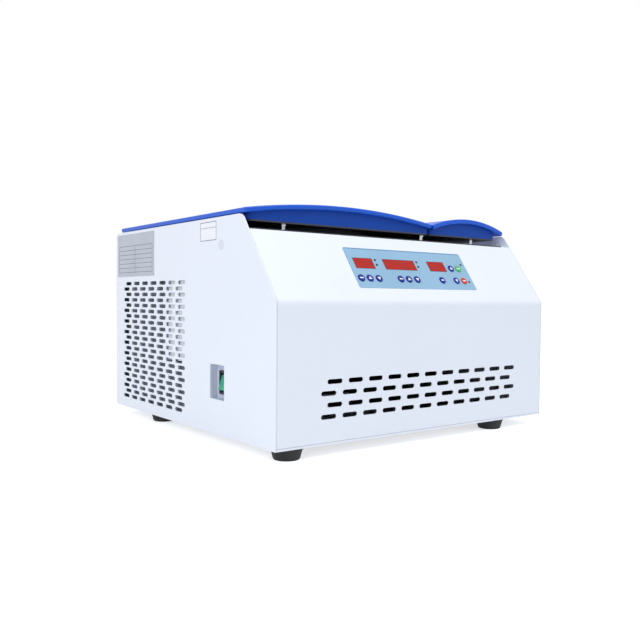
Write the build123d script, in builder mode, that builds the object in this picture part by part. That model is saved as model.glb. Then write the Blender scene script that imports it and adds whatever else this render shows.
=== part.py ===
from build123d import *
import math
import os

# Refrigerated benchtop centrifuge, millimetres.
# The origin is under the middle of the cabinet at the level of the feet.
# The front faces -Y, +Z is up and +X is to the right seen from the front.

# Cabinet
cab_w = 620.0
cab_d = 592.0
foot_h = 18.0
knee_h = 217.0
side_h = 351.3
slope_run = 77.4
slope_rise = 110.0
side_t = 2.0
sheet_t = 1.5
pan_t = 3.5
seam = 0.5
pan_flange_h = 18.0
side_front_r = 18.0
side_rear_r = 13.0
side_low_r = 10.0
knee_r = 16.0
rear_inset = 2.0
deck_t = 2.0
deck_flange = 16.0

# Feet
foot_top_d = 50.0
foot_low_d = 41.0
foot_low_chamfer = 1.5
foot_left_inset = 37.0
foot_right_inset = 120.0
foot_front_inset = 25.0
foot_rear_inset = 149.0
foot_screw_d = 6.0
foot_screw_head_d = 11.0
foot_screw_head_h = 4.0
foot_recess_d = 13.0
foot_recess_h = 6.0

# Front grille
front_slot_l = 29.5
front_slot_w = 7.5
front_slot_pitch = 41.54
front_slot_rows = 4
front_slot_columns = 11
front_slot_row_pitch = 17.73
front_slot_shift = -11.8
front_slot_x0 = -201.0
front_slot_z0 = 114.0

# Side grilles
side_slot_l = 28.0
side_slot_w = 7.0
side_slot_pitch = 38.5
side_slot_columns = 7
side_slot_rows = 22
side_slot_row_pitch = 10.7
side_slot_shift = 10.0
side_slot_rear_inset = 295.0
side_slot_z0 = 266.0

# Control panel on the slope, measured along the slope from the knee
overlay_x = (-140.0, 139.0)
overlay_s = (27.5, 108.5)
overlay_t = 0.6
overlay_r = 3.0
window_boxes = ((-129.0, -87.0, 66.2, 87.7), (-64.0, 9.0, 66.0, 87.5), (41.0, 83.4, 65.8, 87.3))
window_proud = 0.2
module_depth = 9.0
module_gap = 0.5
key_d = 13.3
key_gap = 0.3
key_proud = 1.3
key_depth = 6.0
key_travel = 0.5
key_stop = 0.1
key_edge_r = 0.5
key_low_s = 46.5
key_high_s = 73.5
key_low_x = (-128.1, -109.7, -90.1, -40.7, -22.0, -2.6, 59.5, 95.8, 115.5)
key_high_x = (97.5, 116.1)
key_switch_w = 6.0
lamp_d = 4.0
lamp_gap = 0.2
lamp_proud = 0.6
lamp_spots = ((-80.4, 84.8), (-80.9, 74.8), (16.0, 84.4), (15.3, 74.3), (129.6, 83.4), (128.2, 44.3))
board_gap = 10.9
board_t = 1.6
board_margin = 8.0
standoff_d = 7.0

# Lid and side cover
lid_left_inset = 1.0
lid_reach = 202.0
lid_end_z = 378.2
lid_right_z = 378.5
lid_top_z = 394.4
cover_seam = 2.0
cover_right_inset = 10.0
cover_end_z = 376.4
cover_left_z = 378.0
cover_top_z = 394.8
cover_top_shift = -4.5
lid_front_gap = 10.6
lid_hinge_gap = 9.0
lip_t = 8.5
lip_edge_r = 2.5
skin_t = 4.0
wall_t = 4.0
wall_front_inset = 9.0
wall_left_inset = 13.0
wall_seam_inset = 1.5
wall_right_inset = 16.0
wall_low_z = 361.5
liner_t = 2.5
liner_rim = 1.0

# Chamber
bowl_left_inset = 205.0
bowl_front_gap = 208.6
bowl_r = 145.0
bowl_t = 1.2
bowl_depth = 155.0
bowl_low_r = 22.0
bowl_flange = 17.0
bowl_neck_r = 24.0
gasket_w = 9.0
gasket_h = 4.0
seal_gap = 0.3
coil_d = 8.0
coil_turns = 8
coil_pitch = 14.0
coil_gap = 0.3
coil_end = 9.0
jacket_gap = 0.5
jacket_t = 22.0
jacket_floor = 22.0
pad_gap = 3.0
pad_reach = 157.0
pad_front = 70.0
pad_rear = 72.0
pad_low_z = 127.0
probe_d = 4.0
probe_l = 14.0

# Drive
plate_z = 58.0
plate_t = 5.0
plate_w = 190.0
mount_pitch = 150.0
mount_d = 26.0
motor_r = 62.0
motor_h = 96.0
motor_wall = 6.0
bearing_r = 17.0
bearing_h = 10.0
spindle_d = 14.0
fit_gap = 0.05
stator_t = 18.0
armature_gap = 1.0
armature_h = 50.0

# Rotor
rotor_r = 118.0
rotor_top_r = 90.0
rotor_h = 78.0
rotor_z = 222.0
rotor_rim_h = 12.0
rotor_hub_r = 20.0
rotor_hub_drop = 14.0
hole_count = 4
hole_d = 38.0
hole_tilt = 25.0
hole_depth = 62.0
hole_r = 62.0
nut_r = 17.0
nut_h = 16.0

# Lid locks, posts and hinges
hook_left_reach = 119.0
hook_right_reach = 193.0
hook_front_gap = 32.6
post_right_inset = 83.0
hook_d = 7.0
blade_t = 3.0
blade_w = 15.0
blade_h = 24.0
blade_low_z = 320.0
eye_w = 8.0
eye_z = 328.0
bolt_d = 5.0
bolt_l = 20.0
bolt_travel = 8.0
bolt_gap = 1.0
bore_gap = 0.3
lock_w = 40.0
lock_d = 26.0
lock_slot_w = 6.0
lock_slot_l = 20.0
lock_wall = 5.0
collar_d = 11.0
collar_h = 3.0
hinge_reach = 130.0
hinge_rear_inset = 10.0
hinge_z = 359.0
hinge_pin_d = 8.0
hinge_r = 6.0
hinge_leaf_w = 22.0
hinge_ear_w = 10.0
hinge_side_gap = 0.3
hinge_leaf_t = 4.0
hinge_leaf_reach = 34.0
hinge_base_t = 3.0

# Cooling
comp_left_inset = 125.0
comp_rear_inset = 70.0
comp_r = 52.0
comp_h = 130.0
comp_foot_w = 120.0
comp_foot_t = 3.0
grommet_d = 18.0
grommet_h = 12.0
comp_bolt_pitch = 96.0
cond_right_inset = 120.0
cond_w = 190.0
cond_z = (32.0, 212.0)
cond_depth = 36.0
cond_rear_inset = 62.0
cond_tube_d = 7.0
cond_tube_count = 6
shroud_t = 2.0
shroud_d = 34.0
fan_r = 74.0
fan_gap = 3.0
fan_hub_r = 24.0
fan_blades = 6
fan_depth = 16.0
blade_root_tilt = 40.0
blade_tip_tilt = 62.0
fan_shaft_d = 5.0
fan_motor_r = 20.0
fan_motor_l = 18.0
pipe_d = 7.0
drier_r = 11.0
drier_l = 80.0

# Electrics
pocket_front_inset = 147.0
pocket_l = 46.0
pocket_z = (75.0, 131.5)
pocket_depth = 12.0
pocket_t = 1.5
switch_l = 28.0
switch_z = (82.0, 121.0)
switch_proud = 2.0
switch_depth = 24.0
rocker_wall = 4.0
rocker_gap = 0.5
rocker_corner = 3.0
rocker_proud = 4.5
rocker_pin_d = 3.0
rocker_tilt = 10.0
inlet_left_inset = 70.0
inlet_z = 70.0
inlet_w = 50.0
inlet_h = 30.0
inlet_cavity_w = 25.0
inlet_cavity_h = 18.0
inlet_cavity_depth = 17.0
inlet_depth = 24.0
inlet_blade = (2.0, 4.0, 14.0)
drive_right_inset = 35.0
drive_front_inset = 146.0
drive_w = 170.0
drive_l = 190.0
drive_z = 34.0
plug_front_inset = 159.0
plug_z = 324.5
plug_d = 16.0
plug_proud = 1.0
plug_gap = 0.3
rating_rear_inset = 9.0
rating_w = 174.0
rating_z = (280.0, 364.0)
rating_t = 0.5
sticker_front_inset = 173.0
sticker_w = 55.0
sticker_z = (332.0, 364.5)
sticker_t = 0.2

# Screws
screw_d = 4.0
screw_head_d = 8.0
screw_head_h = 1.8
screw_slot_w = 1.2

# Worked out from the values above
half_w = cab_w / 2
half_d = cab_d / 2
low_z = foot_h
knee_z = foot_h + knee_h
side_z = foot_h + side_h
inner_x = half_w - side_t
panel_x = inner_x - seam
slope_angle = math.degrees(math.atan2(slope_run, slope_rise))
slope_len = math.hypot(slope_run, slope_rise)
front_top_y = slope_run - half_d
front_top_z = knee_z + slope_rise
side_top_y = -half_d + slope_run * (side_h - knee_h) / slope_rise
deck_z = front_top_z + deck_t
rear_y = half_d - rear_inset
pan_z = low_z + pan_t
foot_x = (foot_left_inset - half_w, half_w - foot_right_inset)
foot_y = (foot_front_inset - half_d, half_d - foot_rear_inset)
side_slot_y0 = half_d - side_slot_rear_inset
bowl_x = bowl_left_inset - half_w
bowl_y = front_top_y + bowl_front_gap
lid_left = lid_left_inset - half_w
lid_right = bowl_x + lid_reach
lid_mid_x = bowl_x
cover_left = lid_right + cover_seam
cover_right = half_w - cover_right_inset
cover_mid_x = (cover_left + cover_right) / 2 + cover_top_shift
hinge_x = (bowl_x - hinge_reach, bowl_x + hinge_reach)
hinge_y = rear_y - hinge_rear_inset
lid_front = front_top_y + lid_front_gap
lid_rear = hinge_y - lid_hinge_gap
hook_x = (bowl_x - hook_left_reach, bowl_x + hook_right_reach)
hook_y = front_top_y + hook_front_gap
post_x = half_w - post_right_inset
pad_x = (pad_gap - inner_x, bowl_x - pad_reach)
pad_y = (bowl_y - pad_front, bowl_y + pad_rear)
comp_x = comp_left_inset - half_w
comp_y = rear_y - comp_rear_inset
cond_x = half_w - cond_right_inset
cond_y = (rear_y - cond_rear_inset - cond_depth, rear_y - cond_rear_inset)
pocket_y = (pocket_front_inset - half_d, pocket_front_inset - half_d + pocket_l)
switch_y = (sum(pocket_y) / 2 - switch_l / 2, sum(pocket_y) / 2 + switch_l / 2)
plug_y = plug_front_inset - half_d
inlet_x = inlet_left_inset - half_w
drive_box = (
    half_w - drive_right_inset - drive_w,
    half_w - drive_right_inset,
    drive_front_inset - half_d,
    drive_front_inset - half_d + drive_l,
)
rating_box = (half_d - rating_rear_inset - rating_w, half_d - rating_rear_inset, *rating_z)
sticker_box = (sticker_front_inset - half_d, sticker_front_inset - half_d + sticker_w, *sticker_z)
plate_top = plate_z + plate_t
motor_top = plate_top + motor_h
bowl_rim_z = deck_z + bowl_t
bowl_floor = bowl_rim_z - bowl_depth
gasket_z = bowl_rim_z + gasket_h
coil_r = bowl_r + bowl_t + coil_gap + coil_d / 2
jacket_in = coil_r + coil_d / 2 + jacket_gap
jacket_out = jacket_in + jacket_t
jacket_low = bowl_floor - bowl_t - jacket_floor
liner_low = wall_low_z - liner_t
slope_plane = Plane(
    origin=(0, -half_d, knee_z),
    x_dir=(1, 0, 0),
    z_dir=(0, -math.cos(math.radians(slope_angle)), math.sin(math.radians(slope_angle))),
)

os.makedirs("parts", exist_ok=True)


def save(piece, name):
    piece.label = name
    export_step(piece, "parts/" + name + ".step")


def save_group(name, *pieces):
    """Writes separate solids of one kind into one file."""
    save(Compound([solid for piece in pieces for solid in piece.solids()]), name)


def spread(low, high):
    """The middle and the length of a span."""
    return (low + high) / 2, high - low


def slot_spots(columns, rows, pitch, row_pitch, shift):
    """Middles of a staggered field of slots, from its first one, rows downwards."""
    return [
        (column * pitch + (row % 2) * shift, -row * row_pitch)
        for row in range(rows)
        for column in range(columns)
    ]


# Base pan with its front and rear flanges
pan_len = rear_y - sheet_t - seam + half_d
with BuildPart() as base_pan:
    with BuildSketch(Plane.YZ.offset(-panel_x)):
        with BuildLine():
            pan_line = Polyline(
                (-half_d, low_z),
                (-half_d + pan_len, low_z),
                (-half_d + pan_len, pan_z + pan_flange_h),
                (-half_d + pan_len - sheet_t, pan_z + pan_flange_h),
                (-half_d + pan_len - sheet_t, pan_z),
                (-half_d + sheet_t + seam + sheet_t, pan_z),
                (-half_d + sheet_t + seam + sheet_t, pan_z + pan_flange_h),
                (-half_d + sheet_t + seam, pan_z + pan_flange_h),
                (-half_d + sheet_t + seam, pan_z),
                (-half_d, pan_z),
                close=True,
            )
        make_face()
    extrude(amount=2 * panel_x)
    with Locations(*[(x, y, pan_z) for x in foot_x for y in foot_y]):
        Hole(foot_screw_d / 2, depth=pan_t)
save(base_pan.part, "base_pan")

foot_taper = math.degrees(math.atan2((foot_top_d - foot_low_d) / 2, foot_h))
with BuildPart() as feet:
    with BuildSketch(Plane.XY.offset(foot_h)):
        with Locations(*[(x, y) for x in foot_x for y in foot_y]):
            Circle(foot_top_d / 2)
    extrude(amount=-foot_h, taper=foot_taper)
    chamfer(feet.edges().group_by(Axis.Z)[0], foot_low_chamfer)
    with Locations(*[Plane((x, y, 0), z_dir=(0, 0, -1)) for x in foot_x for y in foot_y]):
        CounterBoreHole(foot_screw_d / 2, foot_recess_d / 2, foot_recess_h, depth=foot_h)
save(feet.part, "feet")

with BuildPart() as foot_screws:
    with BuildSketch(Plane.XY.offset(foot_recess_h)):
        with Locations(*[(x, y) for x in foot_x for y in foot_y]):
            Circle(foot_screw_head_d / 2)
    extrude(amount=-foot_screw_head_h)
    with BuildSketch(Plane.XY.offset(foot_recess_h)):
        with Locations(*[(x, y) for x in foot_x for y in foot_y]):
            Circle(foot_screw_d / 2)
    extrude(amount=pan_z - foot_recess_h)


def side_panel(plane, amount, switch_side):
    """A flat side sheet with its grille, and on one side the switch and plug holes."""
    spots = slot_spots(
        side_slot_columns, side_slot_rows, side_slot_pitch, side_slot_row_pitch, side_slot_shift
    )
    with BuildPart() as panel:
        with BuildSketch(plane):
            with BuildLine():
                FilletPolyline(
                    (-half_d, low_z),
                    (-half_d, knee_z),
                    (side_top_y, side_z),
                    (half_d, side_z),
                    (half_d, low_z),
                    radius=[seam, knee_r, side_front_r, side_rear_r, side_low_r],
                    close=True,
                )
            make_face()
            with Locations(*[(side_slot_y0 + y, side_slot_z0 + z) for y, z in spots]):
                SlotOverall(side_slot_l, side_slot_w, mode=Mode.SUBTRACT)
            if switch_side:
                y, length = spread(*pocket_y)
                z, height = spread(*pocket_z)
                with Locations((y, z)):
                    Rectangle(length, height, mode=Mode.SUBTRACT)
                with Locations((plug_y, plug_z)):
                    Circle(plug_d / 2, mode=Mode.SUBTRACT)
        extrude(amount=amount)
    return panel.part


save(side_panel(Plane.YZ.offset(-half_w), side_t, True), "left_side_panel")
save(side_panel(Plane.YZ.offset(inner_x), side_t, False), "right_side_panel")

# Front panel: lower face, knee, slope and the flange that carries the deck
front_low_z = pan_z + seam
with BuildPart() as front_panel:
    with BuildSketch(Plane.YZ.offset(-panel_x)):
        with BuildLine():
            front_line = FilletPolyline(
                (-half_d, front_low_z),
                (-half_d, knee_z),
                (front_top_y, front_top_z),
                (front_top_y + deck_flange, front_top_z),
                radius=[knee_r, sheet_t + seam],
            )
            offset(front_line, amount=sheet_t, side=Side.RIGHT)
        make_face()
    extrude(amount=2 * panel_x)
    front_spots = slot_spots(
        front_slot_columns, front_slot_rows, front_slot_pitch, front_slot_row_pitch, front_slot_shift
    )
    with BuildSketch(Plane.XZ.offset(half_d)):
        with Locations(*[(front_slot_x0 + x, front_slot_z0 + z) for x, z in front_spots]):
            SlotOverall(front_slot_l, front_slot_w)
    extrude(amount=-2 * sheet_t, mode=Mode.SUBTRACT)
    with BuildSketch(slope_plane):
        for x0, x1, s0, s1 in window_boxes:
            with Locations(((x0 + x1) / 2, (s0 + s1) / 2)):
                Rectangle(x1 - x0 + 2 * module_gap, s1 - s0 + 2 * module_gap)
        with Locations(*[(x, key_low_s) for x in key_low_x], *[(x, key_high_s) for x in key_high_x]):
            Circle(key_d / 2 + key_gap)
        with Locations(*lamp_spots):
            Circle(lamp_d / 2 + lamp_gap)
    extrude(amount=-2 * sheet_t, mode=Mode.SUBTRACT)
save(front_panel.part, "front_panel")
print("front panel", front_panel.part.bounding_box(), front_panel.part.volume, len(front_panel.part.solids()))

# Top deck, seated on the front panel's flange and the rear panel's edge
deck_front_y = front_top_y + sheet_t + seam
deck_seat_h = deck_z - deck_t
with BuildPart() as top_deck:
    with BuildSketch(Plane.XY.offset(deck_seat_h)):
        y, length = spread(deck_front_y, rear_y)
        with Locations((0, y)):
            Rectangle(2 * panel_x, length)
        with Locations((bowl_x, bowl_y)):
            Circle(jacket_in, mode=Mode.SUBTRACT)
        with Locations(*[(x, hook_y) for x in hook_x]):
            RectangleRounded(hook_d + blade_t, lock_slot_l + blade_t, seam, mode=Mode.SUBTRACT)
    extrude(amount=deck_t)
    with BuildSketch(Plane.YZ.offset(-panel_x)):
        with BuildLine():
            Polyline(
                (front_top_y + deck_flange + seam, deck_seat_h),
                (front_top_y + deck_flange + seam + sheet_t, deck_seat_h),
                (front_top_y + deck_flange + seam + sheet_t, deck_seat_h - deck_flange),
                (front_top_y + deck_flange + seam, deck_seat_h - deck_flange),
                close=True,
            )
        make_face()
    extrude(amount=2 * panel_x)
save(top_deck.part, "top_deck")

# Rear panel with the fan's grille and the cut-out of the power inlet
fan_z = sum(cond_z) / 2
with BuildPart() as rear_panel:
    with BuildSketch(Plane.XZ.offset(-rear_y)):
        z, height = spread(pan_z - pan_t, deck_seat_h)
        with Locations((0, z)):
            Rectangle(2 * panel_x, height)
        with Locations((inlet_x, inlet_z)):
            Rectangle(inlet_w, inlet_h, mode=Mode.SUBTRACT)
        with Locations((cond_x, fan_z)):
            with GridLocations(front_slot_pitch, side_slot_row_pitch, 4, 14):
                SlotOverall(front_slot_l, side_slot_w, mode=Mode.SUBTRACT)
    extrude(amount=sheet_t)
save(rear_panel.part, "rear_panel")

# Chamber bowl: a spun steel pot that hangs by its flange in the deck
bowl_plane = Plane(origin=(bowl_x, bowl_y, 0), x_dir=(1, 0, 0), z_dir=(0, -1, 0))
bowl_axis = Axis((bowl_x, bowl_y, 0), (0, 0, 1))
with BuildPart() as chamber_bowl:
    with BuildSketch(bowl_plane):
        with BuildLine():
            bowl_line = FilletPolyline(
                (bowl_neck_r, bowl_floor),
                (bowl_r, bowl_floor),
                (bowl_r, bowl_rim_z),
                (bowl_r + bowl_flange, bowl_rim_z),
                radius=[bowl_low_r, bowl_t],
            )
            offset(bowl_line, amount=bowl_t, side=Side.RIGHT)
        make_face()
    revolve(axis=bowl_axis)
save(chamber_bowl.part, "chamber_bowl")
print("bowl", chamber_bowl.part.bounding_box(), chamber_bowl.part.volume)

with BuildPart() as chamber_gasket:
    with BuildSketch(Plane.XY.offset(bowl_rim_z)):
        with Locations((bowl_x, bowl_y)):
            Circle(bowl_r + bowl_flange)
            Circle(bowl_r + bowl_flange - gasket_w, mode=Mode.SUBTRACT)
    extrude(amount=gasket_h)

# Evaporator coil: one tube wound round the bowl
coil_h = coil_turns * coil_pitch
coil_low_z = bowl_floor + bowl_low_r
with BuildPart() as evaporator_coil:
    with BuildLine() as coil_path:
        Helix(pitch=coil_pitch, height=coil_h, radius=coil_r, center=(bowl_x, bowl_y, coil_low_z))
    with BuildSketch(coil_path.line ^ 0):
        Circle(coil_d / 2)
    sweep(is_frenet=True)
save(evaporator_coil.part, "evaporator_coil")
turn_gap = coil_pitch * math.cos(math.atan2(coil_pitch, 2 * math.pi * coil_r)) - coil_d
print("coil gap between turns", round(turn_gap, 2), evaporator_coil.part.bounding_box())

# Insulation jacket: a foam cup round the bowl and the coil, with a pad behind the left grille
with BuildPart() as insulation_jacket:
    with BuildSketch(bowl_plane):
        with BuildLine():
            Polyline(
                (motor_r + jacket_gap, jacket_low),
                (jacket_out, jacket_low),
                (jacket_out, deck_seat_h),
                (jacket_in, deck_seat_h),
                (jacket_in, bowl_floor - bowl_t),
                (motor_r + jacket_gap, bowl_floor - bowl_t),
                close=True,
            )
        make_face()
    revolve(axis=bowl_axis)
    fillet(
        insulation_jacket.edges().filter_by(GeomType.CIRCLE).group_by(Axis.Z)[0].sort_by(SortBy.RADIUS)[-1],
        bowl_low_r / 2,
    )
    with BuildSketch(Plane.XY.offset(pad_low_z)):
        x, width = spread(*pad_x)
        y, length = spread(*pad_y)
        with Locations((x, y)):
            Rectangle(width, length)
    extrude(amount=deck_seat_h - pad_low_z)
save(insulation_jacket.part, "insulation_jacket")

with BuildPart() as temperature_probe:
    with BuildSketch(Plane.XY.offset(bowl_floor)):
        with Locations((bowl_x, bowl_y + bowl_r - 2 * bowl_low_r)):
            Circle(probe_d / 2)
    extrude(amount=probe_l)
    fillet(temperature_probe.edges().group_by(Axis.Z)[-1], probe_d / 2 - seam)
save(temperature_probe.part, "temperature_probe")

# Motor plate on four rubber mounts
corner_spots = [
    (bowl_x + i * mount_pitch / 2, bowl_y + j * mount_pitch / 2) for i in (-1, 1) for j in (-1, 1)
]
with BuildPart() as motor_plate:
    with BuildSketch(Plane.XY.offset(plate_z)):
        with Locations((bowl_x, bowl_y)):
            RectangleRounded(plate_w, plate_w, screw_head_d)
    extrude(amount=plate_t)
    with Locations(*[(x, y, plate_top) for x, y in corner_spots]):
        Hole(screw_d / 2, depth=plate_t)
save(motor_plate.part, "motor_plate")

with BuildPart() as motor_mounts:
    with BuildSketch(Plane.XY.offset(pan_z)):
        with Locations(*corner_spots):
            Circle(mount_d / 2)
    extrude(amount=plate_z - pan_z)
    waist_z = (pan_z + plate_z) / 2
    for x, y in corner_spots:
        with BuildSketch(Plane(origin=(x, y, 0), x_dir=(1, 0, 0), z_dir=(0, -1, 0))):
            with Locations((mount_d / 2, waist_z)):
                Circle(mount_d / 6)
        revolve(axis=Axis((x, y, 0), (0, 0, 1)), mode=Mode.SUBTRACT)

# Motor housing with its two bearing seats and the neck into the bowl
neck_z = bowl_floor + 2 * bowl_t
neck_r = bowl_neck_r - bowl_t
shoulder_r = spindle_d / 2 + 3 * sheet_t
with BuildPart() as motor_housing:
    with BuildSketch(bowl_plane):
        with BuildLine():
            Polyline(
                (bearing_r, plate_top),
                (motor_r, plate_top),
                (motor_r, motor_top),
                (neck_r, motor_top),
                (neck_r, neck_z),
                (shoulder_r + deck_t, neck_z),
                (shoulder_r + deck_t, motor_top),
                (bearing_r, motor_top),
                (bearing_r, motor_top - bearing_h),
                (motor_r - motor_wall, motor_top - bearing_h),
                (motor_r - motor_wall, plate_top + bearing_h),
                (bearing_r, plate_top + bearing_h),
                close=True,
            )
        make_face()
    revolve(axis=bowl_axis)


def ring(inner, outer, low, high):
    """A plain ring round the rotor's axis."""
    with BuildPart() as piece:
        with BuildSketch(Plane.XY.offset(low)):
            with Locations((bowl_x, bowl_y)):
                Circle(outer)
                Circle(inner, mode=Mode.SUBTRACT)
        extrude(amount=high - low)
    return piece.part


stator_in = motor_r - motor_wall - stator_t
motor_mid = (plate_top + motor_top) / 2
motor_core_z = (motor_mid - armature_h / 2, motor_mid + armature_h / 2)
motor_stator = ring(stator_in, motor_r - motor_wall - fit_gap, *motor_core_z)
save_group("motor_housing", motor_housing.part, motor_stator)
motor_armature = ring(spindle_d / 2 + fit_gap, stator_in - armature_gap, *motor_core_z)
neck_seal = ring(neck_r + fit_gap, bowl_neck_r - fit_gap, jacket_low, neck_z)
save_group("chamber_gaskets", chamber_gasket.part, neck_seal)

with BuildPart() as bearings:
    for low in (plate_top, motor_top - bearing_h):
        with BuildSketch(Plane.XY.offset(low)):
            with Locations((bowl_x, bowl_y)):
                Circle(bearing_r - fit_gap)
                Circle(spindle_d / 2 + fit_gap, mode=Mode.SUBTRACT)
        extrude(amount=bearing_h)
save(bearings.part, "bearings")

rotor_seat_z = rotor_z + rotor_rim_h
rotor_top = rotor_z + rotor_h
nut_z = rotor_top - rotor_hub_drop
spindle_top = nut_z + nut_h * 0.6
with BuildPart() as drive_spindle:
    with BuildSketch(bowl_plane):
        with BuildLine():
            Polyline(
                (0, plate_top),
                (spindle_d / 2, plate_top),
                (spindle_d / 2, motor_top + sheet_t),
                (shoulder_r, motor_top + sheet_t),
                (shoulder_r, rotor_seat_z),
                (spindle_d / 2, rotor_seat_z),
                (spindle_d / 2, spindle_top),
                (0, spindle_top),
                close=True,
            )
        make_face()
    revolve(axis=bowl_axis)
    chamfer(drive_spindle.edges().group_by(Axis.Z)[-1], screw_slot_w)
save_group("drive_spindle", drive_spindle.part, motor_armature)

# Fixed-angle rotor: a truncated cone with a ring of tilted tube holes
hole_planes = []
for i in range(hole_count):
    turn = math.radians(i * 360 / hole_count)
    lean = math.radians(hole_tilt)
    hole_planes.append(
        Plane(
            origin=(bowl_x + hole_r * math.cos(turn), bowl_y + hole_r * math.sin(turn), rotor_top),
            z_dir=(math.sin(lean) * math.cos(turn), math.sin(lean) * math.sin(turn), -math.cos(lean)),
        )
    )
with BuildPart() as rotor:
    with BuildSketch(bowl_plane):
        with BuildLine():
            Polyline(
                (spindle_d / 2 + fit_gap, rotor_seat_z),
                (rotor_hub_r, rotor_seat_z),
                (rotor_hub_r, rotor_z),
                (rotor_r, rotor_z),
                (rotor_r, rotor_z + rotor_rim_h),
                (rotor_top_r, rotor_top),
                (2 * nut_r, rotor_top),
                (nut_r + screw_d, nut_z),
                (spindle_d / 2 + fit_gap, nut_z),
                close=True,
            )
        make_face()
    revolve(axis=bowl_axis)
    chamfer(rotor.edges().filter_by(GeomType.CIRCLE).sort_by(SortBy.RADIUS)[-2:], screw_slot_w)
    for plane in hole_planes:
        with BuildSketch(plane.offset(-hole_d)):
            Circle(hole_d / 2)
        extrude(amount=hole_d + hole_depth, mode=Mode.SUBTRACT)
        with BuildSketch(plane.offset(hole_depth)):
            Circle(hole_d / 2)
        extrude(amount=hole_d / 3, taper=45, mode=Mode.SUBTRACT)
save(rotor.part, "rotor")

with BuildPart() as rotor_nut:
    with BuildSketch(Plane.XY.offset(nut_z)):
        with Locations((bowl_x, bowl_y)):
            Circle(nut_r)
        with Locations((bowl_x, bowl_y)):
            with PolarLocations(nut_r + screw_slot_w, 2 * hole_count):
                Circle(2 * screw_slot_w, mode=Mode.SUBTRACT)
    extrude(amount=nut_h)
    with BuildSketch(Plane.XY.offset(nut_z)):
        with Locations((bowl_x, bowl_y)):
            Circle(spindle_d / 2 + fit_gap)
    extrude(amount=spindle_top - nut_z + fit_gap, mode=Mode.SUBTRACT)
save(rotor_nut.part, "rotor_nut")
print("rotor", rotor.part.bounding_box(), rotor.part.volume, len(rotor.part.solids()))


def arched_cover(left, left_z, mid, top_z, right, right_z, wall_left, wall_right):
    """A moulded cover: an arched skin with a thick lip, and set-back walls under the lip."""
    length = lid_rear - lid_front
    with BuildPart() as cover:
        with BuildSketch(Plane.XZ.offset(-lid_front)):
            with BuildLine():
                arch = ThreePointArc((left, left_z), (mid, top_z), (right, right_z))
                offset(arch, amount=lip_t, side=Side.RIGHT)
            make_face()
        extrude(amount=-length)
        fillet(cover.edges().group_by(Axis.Y)[0], lip_edge_r)
        under = Plane.XY.offset(wall_low_z)
        x, width = spread(wall_left, wall_right)
        y, depth = spread(lid_front + wall_front_inset, lid_rear - wall_front_inset)
        with BuildSketch(under):
            with Locations((x, y)):
                RectangleRounded(width, depth, wall_front_inset)
                RectangleRounded(width - 2 * wall_t, depth - 2 * wall_t, wall_t, mode=Mode.SUBTRACT)
        extrude(until=Until.NEXT)
    return cover.part


lid_wall = (lid_left + wall_left_inset, lid_right - wall_seam_inset)
cover_wall = (cover_left + wall_seam_inset, cover_right - wall_right_inset)
save(
    arched_cover(lid_left, lid_end_z, lid_mid_x, lid_top_z, lid_right, lid_right_z, *lid_wall),
    "lid_shell",
)
save(
    arched_cover(
        cover_left, cover_left_z, cover_mid_x, cover_top_z, cover_right, cover_end_z, *cover_wall
    ),
    "side_cover",
)


def under_plate(wall):
    """The pale plate that closes a cover from below and shows as a thin rim."""
    x, width = spread(*wall)
    y, depth = spread(lid_front + wall_front_inset, lid_rear - wall_front_inset)
    with BuildPart() as plate:
        with BuildSketch(Plane.XY.offset(wall_low_z)):
            with Locations((x, y)):
                RectangleRounded(width, depth + 2 * liner_rim, wall_front_inset + liner_rim)
        extrude(amount=-liner_t)
    return plate.part


with BuildPart() as lid_liner:
    add(under_plate(lid_wall))
    with BuildSketch(Plane.XY.offset(liner_low)):
        with Locations((bowl_x, bowl_y)):
            Circle(bowl_r - bowl_low_r)
    extrude(amount=-2 * liner_t, taper=45)
save(lid_liner.part, "lid_liner")
save(under_plate(cover_wall), "side_cover_plate")

seal_out = bowl_r + bowl_flange - sheet_t
save(ring(seal_out - gasket_w + 2 * sheet_t, seal_out, gasket_z + seal_gap, liner_low), "lid_seal")

# Lid hooks: round posts that end in a blade with an eye for the lock bolt
with BuildPart() as lid_hooks:
    with BuildSketch(Plane.XY.offset(liner_low)):
        with Locations(*[(x, hook_y) for x in hook_x]):
            Circle(hook_d / 2)
    extrude(amount=blade_low_z + blade_h - liner_low)
    with BuildSketch(Plane.XY.offset(liner_low)):
        with Locations(*[(x, hook_y) for x in hook_x]):
            Circle(collar_d / 2)
    extrude(amount=-collar_h)
    with BuildSketch(Plane.XY.offset(blade_low_z)):
        with Locations(*[(x, hook_y) for x in hook_x]):
            RectangleRounded(blade_t, blade_w, seam)
    extrude(amount=blade_h)
    for x in hook_x:
        with BuildSketch(Plane.YZ.offset(x - blade_t)):
            with Locations((hook_y, eye_z)):
                Rectangle(eye_w, eye_w)
        extrude(amount=2 * blade_t, mode=Mode.SUBTRACT)
save(lid_hooks.part, "lid_hooks")

# Lock bodies under the deck, each with a slot for the blade and a bore for the bolt
lock_low_z = blade_low_z - lock_wall
with BuildPart() as lock_bodies:
    with BuildSketch(Plane.XY.offset(lock_low_z)):
        for x in hook_x:
            with Locations((x, hook_y)):
                Rectangle(lock_w, lock_d)
    extrude(amount=deck_seat_h - lock_low_z)
    with BuildSketch(Plane.XY.offset(lock_low_z)):
        for x in hook_x:
            with Locations((x, hook_y)):
                Rectangle(lock_slot_w + blade_t, lock_slot_l)
    extrude(amount=deck_seat_h - lock_low_z, mode=Mode.SUBTRACT)
    for x in hook_x:
        with BuildSketch(Plane.YZ.offset(x - lock_w)):
            with Locations((hook_y, eye_z)):
                Circle(bolt_d / 2 + bore_gap)
        extrude(amount=2 * lock_w, mode=Mode.SUBTRACT)
save(lock_bodies.part, "lock_bodies")

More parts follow.
